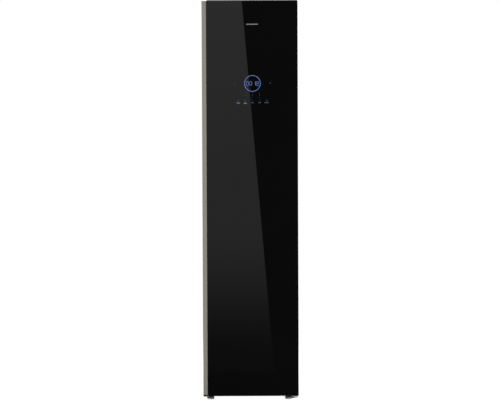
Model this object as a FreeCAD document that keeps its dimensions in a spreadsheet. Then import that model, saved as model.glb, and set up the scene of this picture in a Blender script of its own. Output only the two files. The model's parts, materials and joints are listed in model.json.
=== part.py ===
import FreeCAD, Part
import math
import os
from types import SimpleNamespace

import Sketcher
from FreeCAD import Placement, Rotation, Vector

# Clothes care steam cabinet.
# Millimetres, +Z up. The origin is on the floor under the middle of the cabinet.
# The glass door faces -Y and hangs on its right edge (+X); the grip strip is on its left edge.

DOC = FreeCAD.newDocument("steam_cabinet")

SIZES = {
    # whole cabinet
    "cabinet_width": 440,
    "cabinet_depth": 590,
    "cabinet_height": 1850,
    "base_clearance": 25,
    "base_height": 18,
    "sheet": 1.2,
    "wall_depth": 30,
    "liner": 2,
    "lid_height": 14,
    "lid_drop": 6,
    "lid_wall": 2,
    "top_space": 42,
    "screw_head": 1.2,
    "screw_radius": 1.75,
    "screw_head_radius": 4,
    "screw_inset": 11,
    "rear_flange": 20,
    "service_height": 394,
    "vent_width": 5,
    "vent_height": 60,
    "vent_pitch": 12,
    "vent_count": 16,
    # door
    "door_depth": 56,
    "door_clearance": 26,
    "seal_gap": 6,
    "glass_thickness": 4,
    "glass_drop": 6,
    "glass_corner": 2,
    "handle_width": 20,
    "handle_depth": 36,
    "handle_wall": 3,
    "handle_round": 1,
    "handle_joint": 0.4,
    "handle_foot": 6.5,
    "handle_crown": 1,
    "handle_drop": 1,
    "frame_inset": 3,
    "frame_rise": 3,
    "frame_stile": 12,
    "frame_rail": 26,
    "cap_height": 22,
    "cap_rib": 4,
    "cap_inset": 3,
    "inner_panel": 4,
    "inner_panel_inset": 2,
    "inner_panel_corner": 6,
    "gasket_width": 10,
    "gasket_overlap": 2,
    "gasket_clearance": 0.3,
    "display_height": 1468,
    "display_radius": 50,
    "display_plate": 5,
    "board_width": 130,
    "board_height": 130,
    "board_thickness": 1.6,
    "board_clearance": 1,
    # hinges
    "hinge_inset": 17,
    "hinge_setback": 31,
    "hinge_plate": 4,
    "hinge_arm": 13,
    "hinge_anchor": 70,
    "pin_radius": 5,
    "pin_length": 22,
    "pin_clearance": 0.05,
    "bush_wall": 3,
    "bush_flange": 3,
    "bush_gap": 0.3,
    "cover_reach": 15,
    "cover_round": 6,
    "notch_reach": 27,
    # feet
    "foot_radius": 18,
    "foot_height": 12,
    "foot_neck_radius": 13,
    "foot_neck_height": 6,
    "foot_edge": 2,
    "foot_sole_height": 6,
    "foot_sole_inset": 1.5,
    "foot_setback": 44,
    "left_foot_inset": 32,
    "right_foot_inset": 45,
    "rear_foot_inset": 40,
    "rear_foot_margin": 45,
    "stud_radius": 5,
    "stud_length": 38,
    "stud_seat": 4,
    "stud_clearance": 0.3,
    "stud_gap": 0.3,
    "hex_radius": 10,
    "hex_height": 6,
    # cabin
    "cabin_floor_height": 440,
    "cabin_floor": 3,
    "back_wall_depth": 53,
    "bay_depth": 173,
    "bay_floor_height": 200,
    "bay_wall": 3,
    "front_panel_height": 222,
    "slot_width": 4,
    "slot_length": 70,
    "slot_pitch": 10,
    "slot_count": 14,
    "lamp_length": 120,
    "lamp_width": 20,
    "lamp_height": 6,
    "lamp_setback": 28,
    # hanging rail and its shaker
    "rail_drop": 45,
    "rail_radius": 11,
    "rail_length": 330,
    "shake": 12,
    "arm_width": 12,
    "arm_thickness": 14,
    "arm_spacing": 220,
    "guide_radius": 4,
    "guide_height": 14,
    "guide_clearance": 0.05,
    "bracket_width": 12,
    "bracket_depth": 24,
    "rack_height": 8,
    "rack_lift": 22,
    "rack_depth": 10,
    "rack_offset": 12,
    "tooth_module": 1.5,
    "pinion_teeth": 14,
    "rack_half_teeth": 5,
    "pinion_bore": 3,
    "motor_radius": 16,
    "motor_height": 19,
    # hangers
    "hanger_pitch": 90,
    "hanger_half_width": 188,
    "hanger_thickness": 12,
    "hanger_neck": 36,
    "hanger_slope": 58,
    "hanger_tip": 22,
    "hook_wire": 2,
    "hook_clearance": 0.3,
    # tanks and filter
    "tank_depth": 148,
    "tank_wall": 2.5,
    "tank_corner": 10,
    "tank_side_gap": 8,
    "tank_filter_gap": 14,
    "tank_front_gap": 4,
    "tank_seat_gap": 0.3,
    "lid_thickness": 12,
    "grip_width": 70,
    "grip_depth": 16,
    "grip_height": 28,
    "grip_wall": 6,
    "filler_radius": 16,
    "filler_height": 8,
    "filler_setback": 30,
    "filter_width": 108,
    "filter_thickness": 24,
    "filter_drop": 13.7,
    "filter_rim": 10,
    "filter_web": 2,
    "filter_gap": 1,
    "housing_gap": 6,
    # machine room
    "duct_width": 264,
    "duct_depth": 258,
    "duct_height": 139,
    "duct_wall": 2,
    "duct_shift": 20,
    "coil_width": 200,
    "coil_height": 120,
    "evaporator_depth": 50,
    "condenser_depth": 36,
    "coil_gap": 14,
    "fin_gap": 5,
    "fin_pitch": 9,
    "fin_core": 14,
    "fan_radius": 52,
    "fan_hub_radius": 14,
    "fan_height": 60,
    "fan_disc": 3,
    "fan_blades": 18,
    "fan_blade": 2,
    "fan_blade_length": 18,
    "fan_motor_radius": 34,
    "fan_motor_height": 28,
    "fan_shaft_radius": 4,
    "fan_clearance": 0.05,
    "fan_lift": 3,
    "compressor_radius": 60,
    "compressor_height": 125,
    "compressor_dome": 25,
    "compressor_foot": 12,
    "compressor_plate": 3,
    "compressor_margin": 10,
    "stub_radius": 6,
    "stub_height": 20,
    "pipe_radius": 4,
    "pipe_bend": 12,
    "boiler_width": 100,
    "boiler_depth": 80,
    "boiler_height": 110,
    "boiler_round": 8,
    "steam_tube_radius": 6,
    "pump_radius": 24,
    "pump_length": 70,
    "pump_block": 40,
    "control_width": 105,
    "control_depth": 60,
    "control_height": 130,
    "inlet_width": 28,
    "inlet_height": 22,
    "inlet_depth": 24,
    "inlet_rise": 62,
    "inlet_inset": 70,
}

# Shares of a size, for forms that keep their proportions when that size changes.
VENT_ROWS = (0.3, 0.65)
SERVICE_SCREWS = (0.25, 0.75)
LEAF_NOSE = 0.6
HANGER_ROUND = 0.7
TOOTH_REACH = 0.8
RACK_TOOTH_FOOT = 0.94
RACK_TOOTH_TIP = 0.36
PINION_ROOT = 1.15
PINION_FLANK = ((-1.35, 0.68), (-0.42, 0.7), (0, 0.64), (0.4, 0.5), (0.78, 0.3))
HOOK_START = 200
HOOK_END = -40
HOOK_LEAD = 0.35
HOOK_DROP = 1.75
CAN_FOOT = 0.92
CAN_SHOULDER = 0.85
CAN_CROWN = 0.5
CAN_PLATE = 0.9
CAN_MOUNT = 0.8
PIPE_OFFSET = 2.5
PIPE_RISE = 4


class Size:
    """A length together with the spreadsheet expression that drives it."""

    def __init__(self, value, text):
        self.value = float(value)
        self.text = text

    def joined(self, sign, other, value):
        return Size(value, f"({self.text} {sign} {other.text})")

    def __add__(self, other):
        other = as_size(other)
        return self.joined("+", other, self.value + other.value)

    def __sub__(self, other):
        other = as_size(other)
        return self.joined("-", other, self.value - other.value)

    def __mul__(self, other):
        other = as_size(other)
        return self.joined("*", other, self.value * other.value)

    def __truediv__(self, other):
        other = as_size(other)
        return self.joined("/", other, self.value / other.value)

    def __neg__(self):
        return Size(-self.value, f"(0 - {self.text})")

    def __radd__(self, other):
        return as_size(other) + self

    def __rsub__(self, other):
        return as_size(other) - self

    def __rmul__(self, other):
        return as_size(other) * self


def as_size(number):
    return number if isinstance(number, Size) else Size(number, f"{float(number):.6f}")


def write_sheet():
    """Puts every driving dimension into the spreadsheet and returns them as sizes."""
    sheet = DOC.addObject("Spreadsheet::Sheet", "sizes")
    found = {}
    for row, (alias, value) in enumerate(SIZES.items(), start=1):
        sheet.set(f"A{row}", alias)
        sheet.set(f"B{row}", str(value))
        sheet.setAlias(f"B{row}", alias)
        found[alias] = Size(value, f"sizes.{alias}")
    DOC.recompute()
    return SimpleNamespace(**found)


D = write_sheet()
NODES = []


def node(label, thing):
    """Marks a finished sub-part: its label is the name of its STEP file."""
    thing.Label = label
    NODES.append(thing)
    return thing


# ---------------------------------------------------------------- building blocks

AXES = "xyz"
TURNS = {
    "x": Rotation(Vector(0, 1, 0), 90),
    "y": Rotation(Vector(1, 0, 0), -90),
    "z": Rotation(),
}
PLANES = {"x": "YZ_Plane", "y": "XZ_Plane", "z": "XY_Plane"}


def bind(thing, prop, size):
    thing.setExpression(prop, as_size(size).text)


def place(thing, at):
    for name, size in zip(AXES, at):
        bind(thing, f"Placement.Base.{name}", size)


def box(name, x, y, z):
    """A block between two corners; x, y and z are (low, high) pairs."""
    block = DOC.addObject("Part::Box", name)
    for prop, (low, high) in (("Length", x), ("Width", y), ("Height", z)):
        bind(block, prop, as_size(high) - low)
    place(block, (x[0], y[0], z[0]))
    return block


def rod(name, axis, centre, radius, span):
    """A round bar along an axis; centre holds the two other coordinates in x, y, z order."""
    bar = DOC.addObject("Part::Cylinder", name)
    bar.Placement = Placement(Vector(), TURNS[axis])
    bind(bar, "Radius", radius)
    bind(bar, "Height", as_size(span[1]) - span[0])
    at = list(centre)
    at.insert(AXES.index(axis), span[0])
    place(bar, at)
    return bar


def fuse(name, *things):
    joined = DOC.addObject("Part::MultiFuse", name)
    joined.Shapes = list(things)
    return joined


def cut(name, base, *tools):
    tool = tools[0] if len(tools) == 1 else group(f"{name}_tools", *tools)
    left_over = DOC.addObject("Part::Cut", name)
    left_over.Base = base
    left_over.Tool = tool
    return left_over


def group(name, *things):
    """Separate solids that share one node."""
    several = DOC.addObject("Part::Compound", name)
    several.Links = list(things)
    return several


def origin_plane(body, role):
    return next(item for item in body.Origin.OriginFeatures if item.Role == role)


def new_sketch(body, plane, name):
    sketch = body.newObject("Sketcher::SketchObject", name)
    sketch.AttachmentSupport = (origin_plane(body, plane), [""])
    sketch.MapMode = "FlatFace"
    return sketch


def draw_loops(sketch, loops):
    """Draws closed loops and ties every corner to its sizes.

    A loop is a list of corner points, or (centre, radius) for a circle.
    """
    shapes = []
    rules = []
    sizes = []

    def hold(size, kind, *where):
        size = as_size(size)
        rules.append(Sketcher.Constraint(kind, *where, size.value))
        sizes.append((len(rules) - 1, size.text))

    def pin(index, end, point):
        hold(point[0], "DistanceX", -1, 1, index, end)
        hold(point[1], "DistanceY", -1, 1, index, end)

    for loop in loops:
        if isinstance(loop, tuple):
            centre, radius = loop
            shapes.append(Part.Circle(flat_point(centre), Vector(0, 0, 1), as_size(radius).value))
            hold(radius, "Radius", len(shapes) - 1)
            pin(len(shapes) - 1, 3, centre)
            continue
        first = len(shapes)
        for number, corner in enumerate(loop):
            following = (number + 1) % len(loop)
            shapes.append(Part.LineSegment(flat_point(corner), flat_point(loop[following])))
            rules.append(Sketcher.Constraint("Coincident", first + number, 2, first + following, 1))
            pin(first + number, 1, corner)
    sketch.addGeometry(shapes, False)
    sketch.addConstraint(rules)
    for row, text in sizes:
        sketch.setExpression(f"Constraints[{row}]", text)


def flat_point(point):
    return Vector(as_size(point[0]).value, as_size(point[1]).value, 0)


def rectangle(u, v):
    return [(u[0], v[0]), (u[1], v[0]), (u[1], v[1]), (u[0], v[1])]


def extrude(name, axis, loops, span, corner=None, corners=None):
    """A body padded along an axis from sketched loops; inner loops become holes.

    corner rounds the edges that run along the axis; corners limits them to the
    outline points with those numbers.
    """
    body = DOC.addObject("PartDesign::Body", name)
    sketch = new_sketch(body, PLANES[axis], f"{name}_outline")
    draw_loops(sketch, loops)
    pad = body.newObject("PartDesign::Pad", f"{name}_pad")
    pad.Profile = sketch
    bind(pad, "Length", as_size(span[1]) - span[0])
    start = span[1] if axis == "y" else span[0]
    bind(body, f"Placement.Base.{axis}", start)
    if corner is not None:
        DOC.recompute()
        chosen = loops[0] if corners is None else [loops[0][number] for number in corners]
        fillet = body.newObject("PartDesign::Fillet", f"{name}_round")
        fillet.Base = (pad, corner_edges(pad.Shape, axis, chosen))
        bind(fillet, "Radius", corner)
    return body


def repeat_cut(body, plane, loops, pitch, count):
    """Cuts the loops right through a padded body and repeats them along its sketch's width."""
    DOC.recompute()
    name = body.Name
    sketch = new_sketch(body, plane, f"{name}_gap")
    draw_loops(sketch, loops)
    first = body.newObject("PartDesign::Pocket", f"{name}_first_gap")
    first.Profile = sketch
    first.Type = "ThroughAll"
    first.Reversed = True
    DOC.recompute()
    row = body.newObject("PartDesign::LinearPattern", f"{name}_gaps")
    row.Originals = [first]
    row.Direction = (sketch, ["H_Axis"])
    bind(row, "Occurrences", count)
    bind(row, "Length", pitch * (count - 1))
    body.Tip = row


def corner_edges(shape, axis, points):
    """Names of the edges along the axis that stand on the given outline points."""
    flat = [number for number in range(3) if number != AXES.index(axis)]
    wanted = [(as_size(u).value, as_size(v).value) for u, v in points]
    names = []
    for number, edge in enumerate(shape.Edges, start=1):
        first, last = edge.Vertexes[0].Point, edge.Vertexes[-1].Point
        where = [(point[flat[0]], point[flat[1]]) for point in (first, last)]
        if math.dist(*where) < 1e-6 and any(math.dist(where[0], spot) < 1e-6 for spot in wanted):
            names.append(f"Edge{number}")
    return names


def turn(name, profile, centre):
    """A body turned about a vertical axis from a half profile of (radius, height) points."""
    body = DOC.addObject("PartDesign::Body", name)
    sketch = new_sketch(body, "XZ_Plane", f"{name}_profile")
    draw_loops(sketch, [profile])
    spin = body.newObject("PartDesign::Revolution", f"{name}_turned")
    spin.Profile = sketch
    spin.ReferenceAxis = (sketch, ["V_Axis"])
    spin.Angle = 360
    for axis, size in zip("xy", centre):
        bind(body, f"Placement.Base.{axis}", size)
    return body


def tube(name, points, radius, bend):
    """A round tube along straight runs joined by tangent arcs."""
    route = [Vector(*(as_size(size).value for size in point)) for point in points]
    reach = as_size(bend).value
    edges = []
    here = route[0]
    for before, corner, after in zip(route, route[1:], route[2:]):
        into = (corner - before).normalize()
        out = (after - corner).normalize()
        middle = corner + (out - into).normalize() * (reach * (math.sqrt(2) - 1))
        edges.append(Part.LineSegment(here, corner - into * reach).toShape())
        edges.append(Part.Arc(corner - into * reach, middle, corner + out * reach).toShape())
        here = corner + out * reach
    edges.append(Part.LineSegment(here, route[-1]).toShape())
    return sweep(name, edges, radius, (route[1] - route[0]).normalize())


def sweep(name, edges, radius, direction):
    start = edges[0].Vertexes[0].Point
    section = Part.Wire(Part.makeCircle(as_size(radius).value, start, direction))
    feature = DOC.addObject("Part::Feature", name)
    feature.Shape = Part.Wire(edges).makePipeShell([section], True, False)
    return feature


# ---------------------------------------------------------------- shared places

LEFT = -D.cabinet_width / 2
RIGHT = D.cabinet_width / 2
FRONT = -D.cabinet_depth / 2
BACK = D.cabinet_depth / 2
TOP = D.cabinet_height

# door, from its glass backwards
GLASS_BACK = FRONT + D.glass_thickness
DOOR_BACK = FRONT + D.door_depth
PANEL_FRONT = DOOR_BACK - D.inner_panel
BODY_FRONT = DOOR_BACK + D.seal_gap
GLASS_BOTTOM = D.door_clearance
GLASS_TOP = TOP - D.glass_drop
FRAME_LEFT = LEFT + D.handle_width
FRAME_RIGHT = RIGHT - D.frame_inset
FRAME_BOTTOM = GLASS_BOTTOM + D.frame_rise
FRAME_TOP = TOP - D.cap_height
GLASS_LEFT = FRAME_LEFT + D.handle_joint
DISPLAY_X = (GLASS_LEFT + RIGHT) / 2
PIN_X = RIGHT - D.hinge_inset
PIN_Y = BODY_FRONT - D.hinge_setback

# cabinet shell
LID_TOP = TOP - D.lid_drop
BODY_TOP = LID_TOP - D.lid_height
SKIN_BACK = BACK - D.screw_head
FLANGE_BACK = SKIN_BACK - D.sheet
INSIDE_BACK = FLANGE_BACK - D.sheet
PAN_BOTTOM = D.base_clearance
PAN_FLOOR = PAN_BOTTOM + D.sheet
PAN_TOP = PAN_BOTTOM + D.base_height
SHELL_LEFT = LEFT + D.sheet
SHELL_RIGHT = RIGHT - D.sheet
SKIN_FRONT = BODY_FRONT + D.sheet
SERVICE_TOP = PAN_BOTTOM + D.service_height
INLET_X = LEFT + D.inlet_inset

# cabin
CABIN_LEFT = LEFT + D.wall_depth
CABIN_RIGHT = RIGHT - D.wall_depth
LINER_LEFT = CABIN_LEFT - D.liner
LINER_RIGHT = CABIN_RIGHT + D.liner
CEILING_TOP = BODY_TOP - D.top_space
CEILING = CEILING_TOP - D.liner
CABIN_FLOOR = D.cabin_floor_height
FLOOR_UNDERSIDE = CABIN_FLOOR - D.cabin_floor
CABIN_BACK = BACK - D.back_wall_depth
LINER_BACK = CABIN_BACK + D.liner
BAY_FLOOR = D.bay_floor_height
BAY_BACK = BODY_FRONT + D.bay_depth
PANEL_BACK = BODY_FRONT + D.bay_wall

SCREW_HEIGHTS = (
    PAN_FLOOR + D.service_height * SERVICE_SCREWS[0],
    PAN_FLOOR + D.service_height * SERVICE_SCREWS[1],
    (SERVICE_TOP + BODY_TOP) / 2,
    BODY_TOP - D.screw_inset * 3,
)


# ---------------------------------------------------------------- door

def build_door():
    glass = rectangle((GLASS_LEFT, RIGHT), (GLASS_BOTTOM, GLASS_TOP))
    node("door_glass", extrude("glass", "y", [glass], (FRONT, GLASS_BACK), D.glass_corner))
    build_handle()
    build_door_frame()
    build_display()
    seal_left = LINER_LEFT - D.gasket_width + D.gasket_overlap - D.liner
    seal_bottom = PAN_TOP
    seal_top = CEILING_TOP + D.gasket_width + D.gasket_overlap * 2
    outer = rectangle((seal_left, -seal_left), (seal_bottom, seal_top))
    inner = rectangle(
        (seal_left + D.gasket_width, -seal_left - D.gasket_width),
        (seal_bottom + D.gasket_width, seal_top - D.gasket_width),
    )
    span = (DOOR_BACK, BODY_FRONT - D.gasket_clearance)
    node("door_gasket", extrude("gasket", "y", [outer, inner], span))


def build_handle():
    """Edge grip: a channel that opens sideways, so that fingers hook behind its front face."""
    rear = FRONT + D.handle_depth
    low = GLASS_BOTTOM + D.handle_foot
    crown_top = GLASS_TOP - D.handle_drop
    high = crown_top - D.handle_crown
    web = FRAME_LEFT - D.handle_wall
    profile = [
        (LEFT, FRONT),
        (FRAME_LEFT, FRONT),
        (FRAME_LEFT, rear),
        (LEFT, rear),
        (LEFT, rear - D.handle_wall),
        (web, rear - D.handle_wall),
        (web, FRONT + D.handle_wall),
        (LEFT, FRONT + D.handle_wall),
    ]
    node("door_handle", extrude("handle", "z", [profile], (low, high), D.handle_round, (0, 3, 4, 7)))
    foot = box("handle_foot_cap", (LEFT, FRAME_LEFT), (FRONT, rear), (GLASS_BOTTOM, low))
    crown = box("handle_crown_cap", (LEFT, FRAME_LEFT), (FRONT, rear), (high, crown_top))
    node("handle_end_caps", group("end_caps", foot, crown))


def build_door_frame():
    outer = rectangle((FRAME_LEFT, FRAME_RIGHT), (FRAME_BOTTOM, FRAME_TOP))
    hollow_x = (FRAME_LEFT + D.frame_stile, FRAME_RIGHT - D.frame_stile)
    hollow_z = (FRAME_BOTTOM + D.frame_rail, FRAME_TOP - D.frame_rail)
    ring = extrude("frame_ring", "y", [outer, rectangle(hollow_x, hollow_z)], (GLASS_BACK, PANEL_FRONT))
    bush = D.pin_radius + D.pin_clearance + D.bush_wall
    holes = [
        rod("upper_bush_hole", "z", (PIN_X, PIN_Y), bush, (FRAME_TOP - D.frame_rail, FRAME_TOP)),
        rod("lower_bush_hole", "z", (PIN_X, PIN_Y), bush, (FRAME_BOTTOM, FRAME_BOTTOM + D.frame_rail)),
    ]
    node("door_frame", cut("frame", ring, *holes))

    foam = box("foam_slab", hollow_x, (GLASS_BACK, PANEL_FRONT), hollow_z)
    half_width = D.board_width / 2 + D.board_clearance
    half_height = D.board_height / 2 + D.board_clearance
    pocket = box(
        "electronics_pocket",
        (DISPLAY_X - half_width, DISPLAY_X + half_width),
        (GLASS_BACK, GLASS_BACK + D.display_plate + D.board_thickness),
        (D.display_height - half_height, D.display_height + half_height),
    )
    node("door_foam", cut("foam", foam, pocket))

    edge = D.inner_panel_inset
    panel = rectangle((FRAME_LEFT + edge, FRAME_RIGHT - edge), (FRAME_BOTTOM + edge, FRAME_TOP - edge))
    node(
        "door_inner_panel",
        extrude("inner_panel", "y", [panel], (PANEL_FRONT, DOOR_BACK), D.inner_panel_corner),
    )
    cap = [
        (GLASS_LEFT + D.cap_inset, GLASS_BACK),
        (FRAME_RIGHT, GLASS_BACK),
        (FRAME_RIGHT, GLASS_BACK + D.cap_rib),
        (PIN_X - D.notch_reach, GLASS_BACK + D.cap_rib),
        (PIN_X - D.notch_reach, DOOR_BACK),
        (GLASS_LEFT + D.cap_inset, DOOR_BACK),
    ]
    node("door_top_cap", extrude("top_cap", "z", [cap], (FRAME_TOP, TOP)))
    node("door_hinge_bushes", group("bushes", build_bush("upper"), build_bush("lower")))


def build_bush(end):
    """Flanged bush pressed into the end rail of the door frame."""
    bore = D.pin_radius + D.pin_clearance
    body = bore + D.bush_wall
    flange = body + D.bush_flange
    if end == "upper":
        inside, face, rim = FRAME_TOP - D.frame_rail, FRAME_TOP, BODY_TOP - D.bush_gap
    else:
        inside, face, rim = FRAME_BOTTOM + D.frame_rail, FRAME_BOTTOM, PAN_BOTTOM + D.bush_gap
    profile = [(bore, inside), (body, inside), (body, face), (flange, face), (flange, rim), (bore, rim)]
    return turn(f"{end}_bush", profile, (PIN_X, PIN_Y))


def build_display():
    """Light guide behind the glass, with its circuit board behind it."""
    plate_back = GLASS_BACK + D.display_plate
    centre = (DISPLAY_X, D.display_height)
    guide = rod("light_guide", "y", centre, D.display_radius, (GLASS_BACK, plate_back))
    node("display_light_guide", guide)
    board = box(
        "board",
        (DISPLAY_X - D.board_width / 2, DISPLAY_X + D.board_width / 2),
        (plate_back, plate_back + D.board_thickness),
        (D.display_height - D.board_height / 2, D.display_height + D.board_height / 2),
    )
    node("display_board", board)


# ---------------------------------------------------------------- hinges

def hinge_leaf(name, span):
    """Flat leaf with a rounded nose around the pin."""
    half = D.hinge_arm
    nose = PIN_Y - half
    leaf = rectangle((PIN_X - half, PIN_X + half), (nose, BODY_FRONT + D.hinge_anchor))
    return extrude(name, "z", [leaf], span, D.hinge_arm * LEAF_NOSE, (0, 1))


def build_hinges():
    plate_top = BODY_TOP + D.hinge_plate
    upper = hinge_leaf("upper_leaf", (BODY_TOP, plate_top))
    upper_pin = rod("upper_pin", "z", (PIN_X, PIN_Y), D.pin_radius, (BODY_TOP - D.pin_length, BODY_TOP))
    upstand = box(
        "upper_upstand",
        (PIN_X - D.hinge_arm, PIN_X + D.hinge_arm),
        (SKIN_FRONT, SKIN_FRONT + D.hinge_plate),
        (CEILING_TOP, BODY_TOP),
    )
    node("upper_hinge", fuse("upper_bracket", upper, upper_pin, upstand))

    lower = hinge_leaf("lower_leaf", (PAN_BOTTOM - D.hinge_plate, PAN_BOTTOM))
    lower_pin = rod("lower_pin", "z", (PIN_X, PIN_Y), D.pin_radius, (PAN_BOTTOM, PAN_BOTTOM + D.pin_length))
    node("lower_hinge", fuse("lower_bracket", lower, lower_pin))

    reach = D.cover_reach
    cover = rectangle((PIN_X - reach, PIN_X + D.hinge_arm), (PIN_Y - reach, BODY_FRONT))
    node("hinge_cover", extrude("cover", "z", [cover], (plate_top, LID_TOP), D.cover_round, (0, 1)))


# ---------------------------------------------------------------- cabinet shell

def foot_places():
    """Front foot centres; the right one stands inboard of the lower hinge."""
    y = BODY_FRONT + D.foot_setback
    return {"left": (LEFT + D.left_foot_inset, y), "right": (RIGHT - D.right_foot_inset, y)}


def screw_places():
    sides = (LEFT + D.screw_inset, RIGHT - D.screw_inset)
    return [(x, z) for x in sides for z in SCREW_HEIGHTS]


def screw_holes(name):
    span = (INSIDE_BACK, SKIN_BACK)
    bars = [
        rod(f"{name}_hole_{number}", "y", where, D.screw_radius, span)
        for number, where in enumerate(screw_places())
    ]
    return group(f"{name}_holes", *bars)


def build_shell():
    outside = box("pan_block", (SHELL_LEFT, SHELL_RIGHT), (SKIN_FRONT, INSIDE_BACK), (PAN_BOTTOM, PAN_TOP))
    inside = box(
        "pan_hollow",
        (SHELL_LEFT + D.sheet, SHELL_RIGHT - D.sheet),
        (SKIN_FRONT + D.sheet, INSIDE_BACK - D.sheet),
        (PAN_FLOOR, PAN_TOP),
    )
    holes = [
        rod(f"{side}_stud_hole", "z", where, D.stud_radius + D.stud_clearance, (PAN_BOTTOM, PAN_FLOOR))
        for side, where in foot_places().items()
    ]
    node("base_pan", cut("pan", outside, inside, *holes))
    build_side_panel("left", LEFT, 1)
    build_side_panel("right", RIGHT, -1)
    build_top_cover()
    build_rear()


def build_side_panel(side, edge, inward):
    """Folded sheet with a front flange as wide as the wall and a rear flange for screws."""
    skin = edge + D.sheet * inward
    lip = edge + (D.wall_depth - D.liner) * inward
    tail = edge + D.rear_flange * inward
    profile = [
        (edge, BODY_FRONT),
        (lip, BODY_FRONT),
        (lip, SKIN_FRONT),
        (skin, SKIN_FRONT),
        (skin, INSIDE_BACK),
        (tail, INSIDE_BACK),
        (tail, FLANGE_BACK),
        (edge, FLANGE_BACK),
    ]
    sheet = extrude(f"{side}_sheet", "z", [profile], (PAN_BOTTOM, BODY_TOP))
    node(f"side_panel_{side}", cut(f"{side}_panel", sheet, screw_holes(side)))


def build_top_cover():
    """Lid over the top space, with an apron that closes its front above the cabin."""
    lid = box("lid_block", (LEFT, RIGHT), (BODY_FRONT, FLANGE_BACK), (BODY_TOP, LID_TOP))
    hollow = box(
        "lid_hollow",
        (LEFT + D.lid_wall, RIGHT - D.lid_wall),
        (BODY_FRONT + D.lid_wall, FLANGE_BACK - D.lid_wall),
        (BODY_TOP, LID_TOP - D.lid_wall),
    )
    mouth = box(
        "hinge_mouth",
        (PIN_X - D.hinge_arm, PIN_X + D.hinge_arm),
        (BODY_FRONT, BODY_FRONT + D.lid_wall),
        (BODY_TOP, BODY_TOP + D.hinge_plate),
    )
    apron = box("apron", (LINER_LEFT, LINER_RIGHT), (BODY_FRONT, SKIN_FRONT), (CEILING_TOP, BODY_TOP))
    node("top_cover", fuse("cover_and_apron", cut("lid", lid, hollow, mouth), apron))


def build_rear():
    upper = rectangle((SHELL_LEFT, SHELL_RIGHT), (SERVICE_TOP, BODY_TOP))
    sheet = extrude("rear_sheet", "y", [upper], (FLANGE_BACK, SKIN_BACK))
    node("back_panel", cut("rear_panel", sheet, screw_holes("rear")))

    start = -D.vent_pitch * (D.vent_count - 1) / 2 - D.vent_width / 2
    vents = []
    for row in VENT_ROWS:
        low = PAN_BOTTOM + D.service_height * row
        vents.append(rectangle((start, start + D.vent_width), (low, low + D.vent_height)))
    inlet_x = (INLET_X - D.inlet_width / 2, INLET_X + D.inlet_width / 2)
    inlet_z = (PAN_BOTTOM + D.inlet_rise, PAN_BOTTOM + D.inlet_rise + D.inlet_height)
    lower = rectangle((SHELL_LEFT, SHELL_RIGHT), (PAN_BOTTOM, SERVICE_TOP))
    cover = extrude("service_sheet", "y", [lower, rectangle(inlet_x, inlet_z)], (FLANGE_BACK, SKIN_BACK))
    repeat_cut(cover, "XZ_Plane", vents, D.vent_pitch, D.vent_count)
    node("service_cover", cut("service_panel", cover, screw_holes("service")))

    shell = box("inlet_block", inlet_x, (SKIN_BACK - D.inlet_depth, SKIN_BACK), inlet_z)
    wall = D.liner
    mouth = box(
        "inlet_mouth",
        (inlet_x[0] + wall, inlet_x[1] - wall),
        (SKIN_BACK - D.inlet_depth + wall, SKIN_BACK),
        (inlet_z[0] + wall, inlet_z[1] - wall),
    )
    node("power_inlet", cut("inlet", shell, mouth))

    screws = []
    for number, where in enumerate(screw_places()):
        shank = rod(f"shank_{number}", "y", where, D.screw_radius, (INSIDE_BACK, SKIN_BACK))
        head = rod(f"head_{number}", "y", where, D.screw_head_radius, (SKIN_BACK, BACK))
        screws.append(fuse(f"screw_{number}", shank, head))
    node("panel_screws", group("screws", *screws))


# ---------------------------------------------------------------- feet

def foot_profile(height):
    """Half outline of a foot: a slightly smaller sole, a wide grip ring and a neck."""
    edge = D.foot_edge
    sole = D.foot_radius - D.foot_sole_inset
    return [
        (0, 0),
        (sole - edge, 0),
        (sole, edge),
        (sole, D.foot_sole_height),
        (D.foot_radius, D.foot_sole_height),
        (D.foot_radius, D.foot_height),
        (D.foot_neck_radius, D.foot_height + edge),
        (D.foot_neck_radius, height),
        (0, height),
    ]


def build_feet():
    neck_top = D.foot_height + D.foot_neck_height
    for side, where in foot_places().items():
        pad = turn(f"{side}_pad", foot_profile(neck_top), where)
        socket_radius = D.stud_radius + D.pin_clearance
        socket = rod(f"{side}_socket", "z", where, socket_radius, (D.stud_seat, neck_top))
        node(f"foot_pad_{side}", cut(f"{side}_foot", pad, socket))
        seat = D.stud_seat + D.stud_gap
        shaft = rod(f"{side}_shaft", "z", where, D.stud_radius, (seat, seat + D.stud_length))
        collar = DOC.addObject("Part::Prism", f"{side}_hex")
        collar.Polygon = 6
        bind(collar, "Circumradius", D.hex_radius)
        bind(collar, "Height", D.hex_height)
        place(collar, (*where, neck_top + D.stud_gap))
        node(f"foot_stud_{side}", fuse(f"{side}_stud", shaft, collar))
    rear_y = BACK - D.rear_foot_margin
    rear = [
        turn(f"{side}_rear_foot", foot_profile(PAN_BOTTOM), (x, rear_y))
        for side, x in (("left", LEFT + D.rear_foot_inset), ("right", RIGHT - D.rear_foot_inset))
    ]
    node("rear_feet", group("two_rear_feet", *rear))


# ---------------------------------------------------------------- cabin

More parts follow.
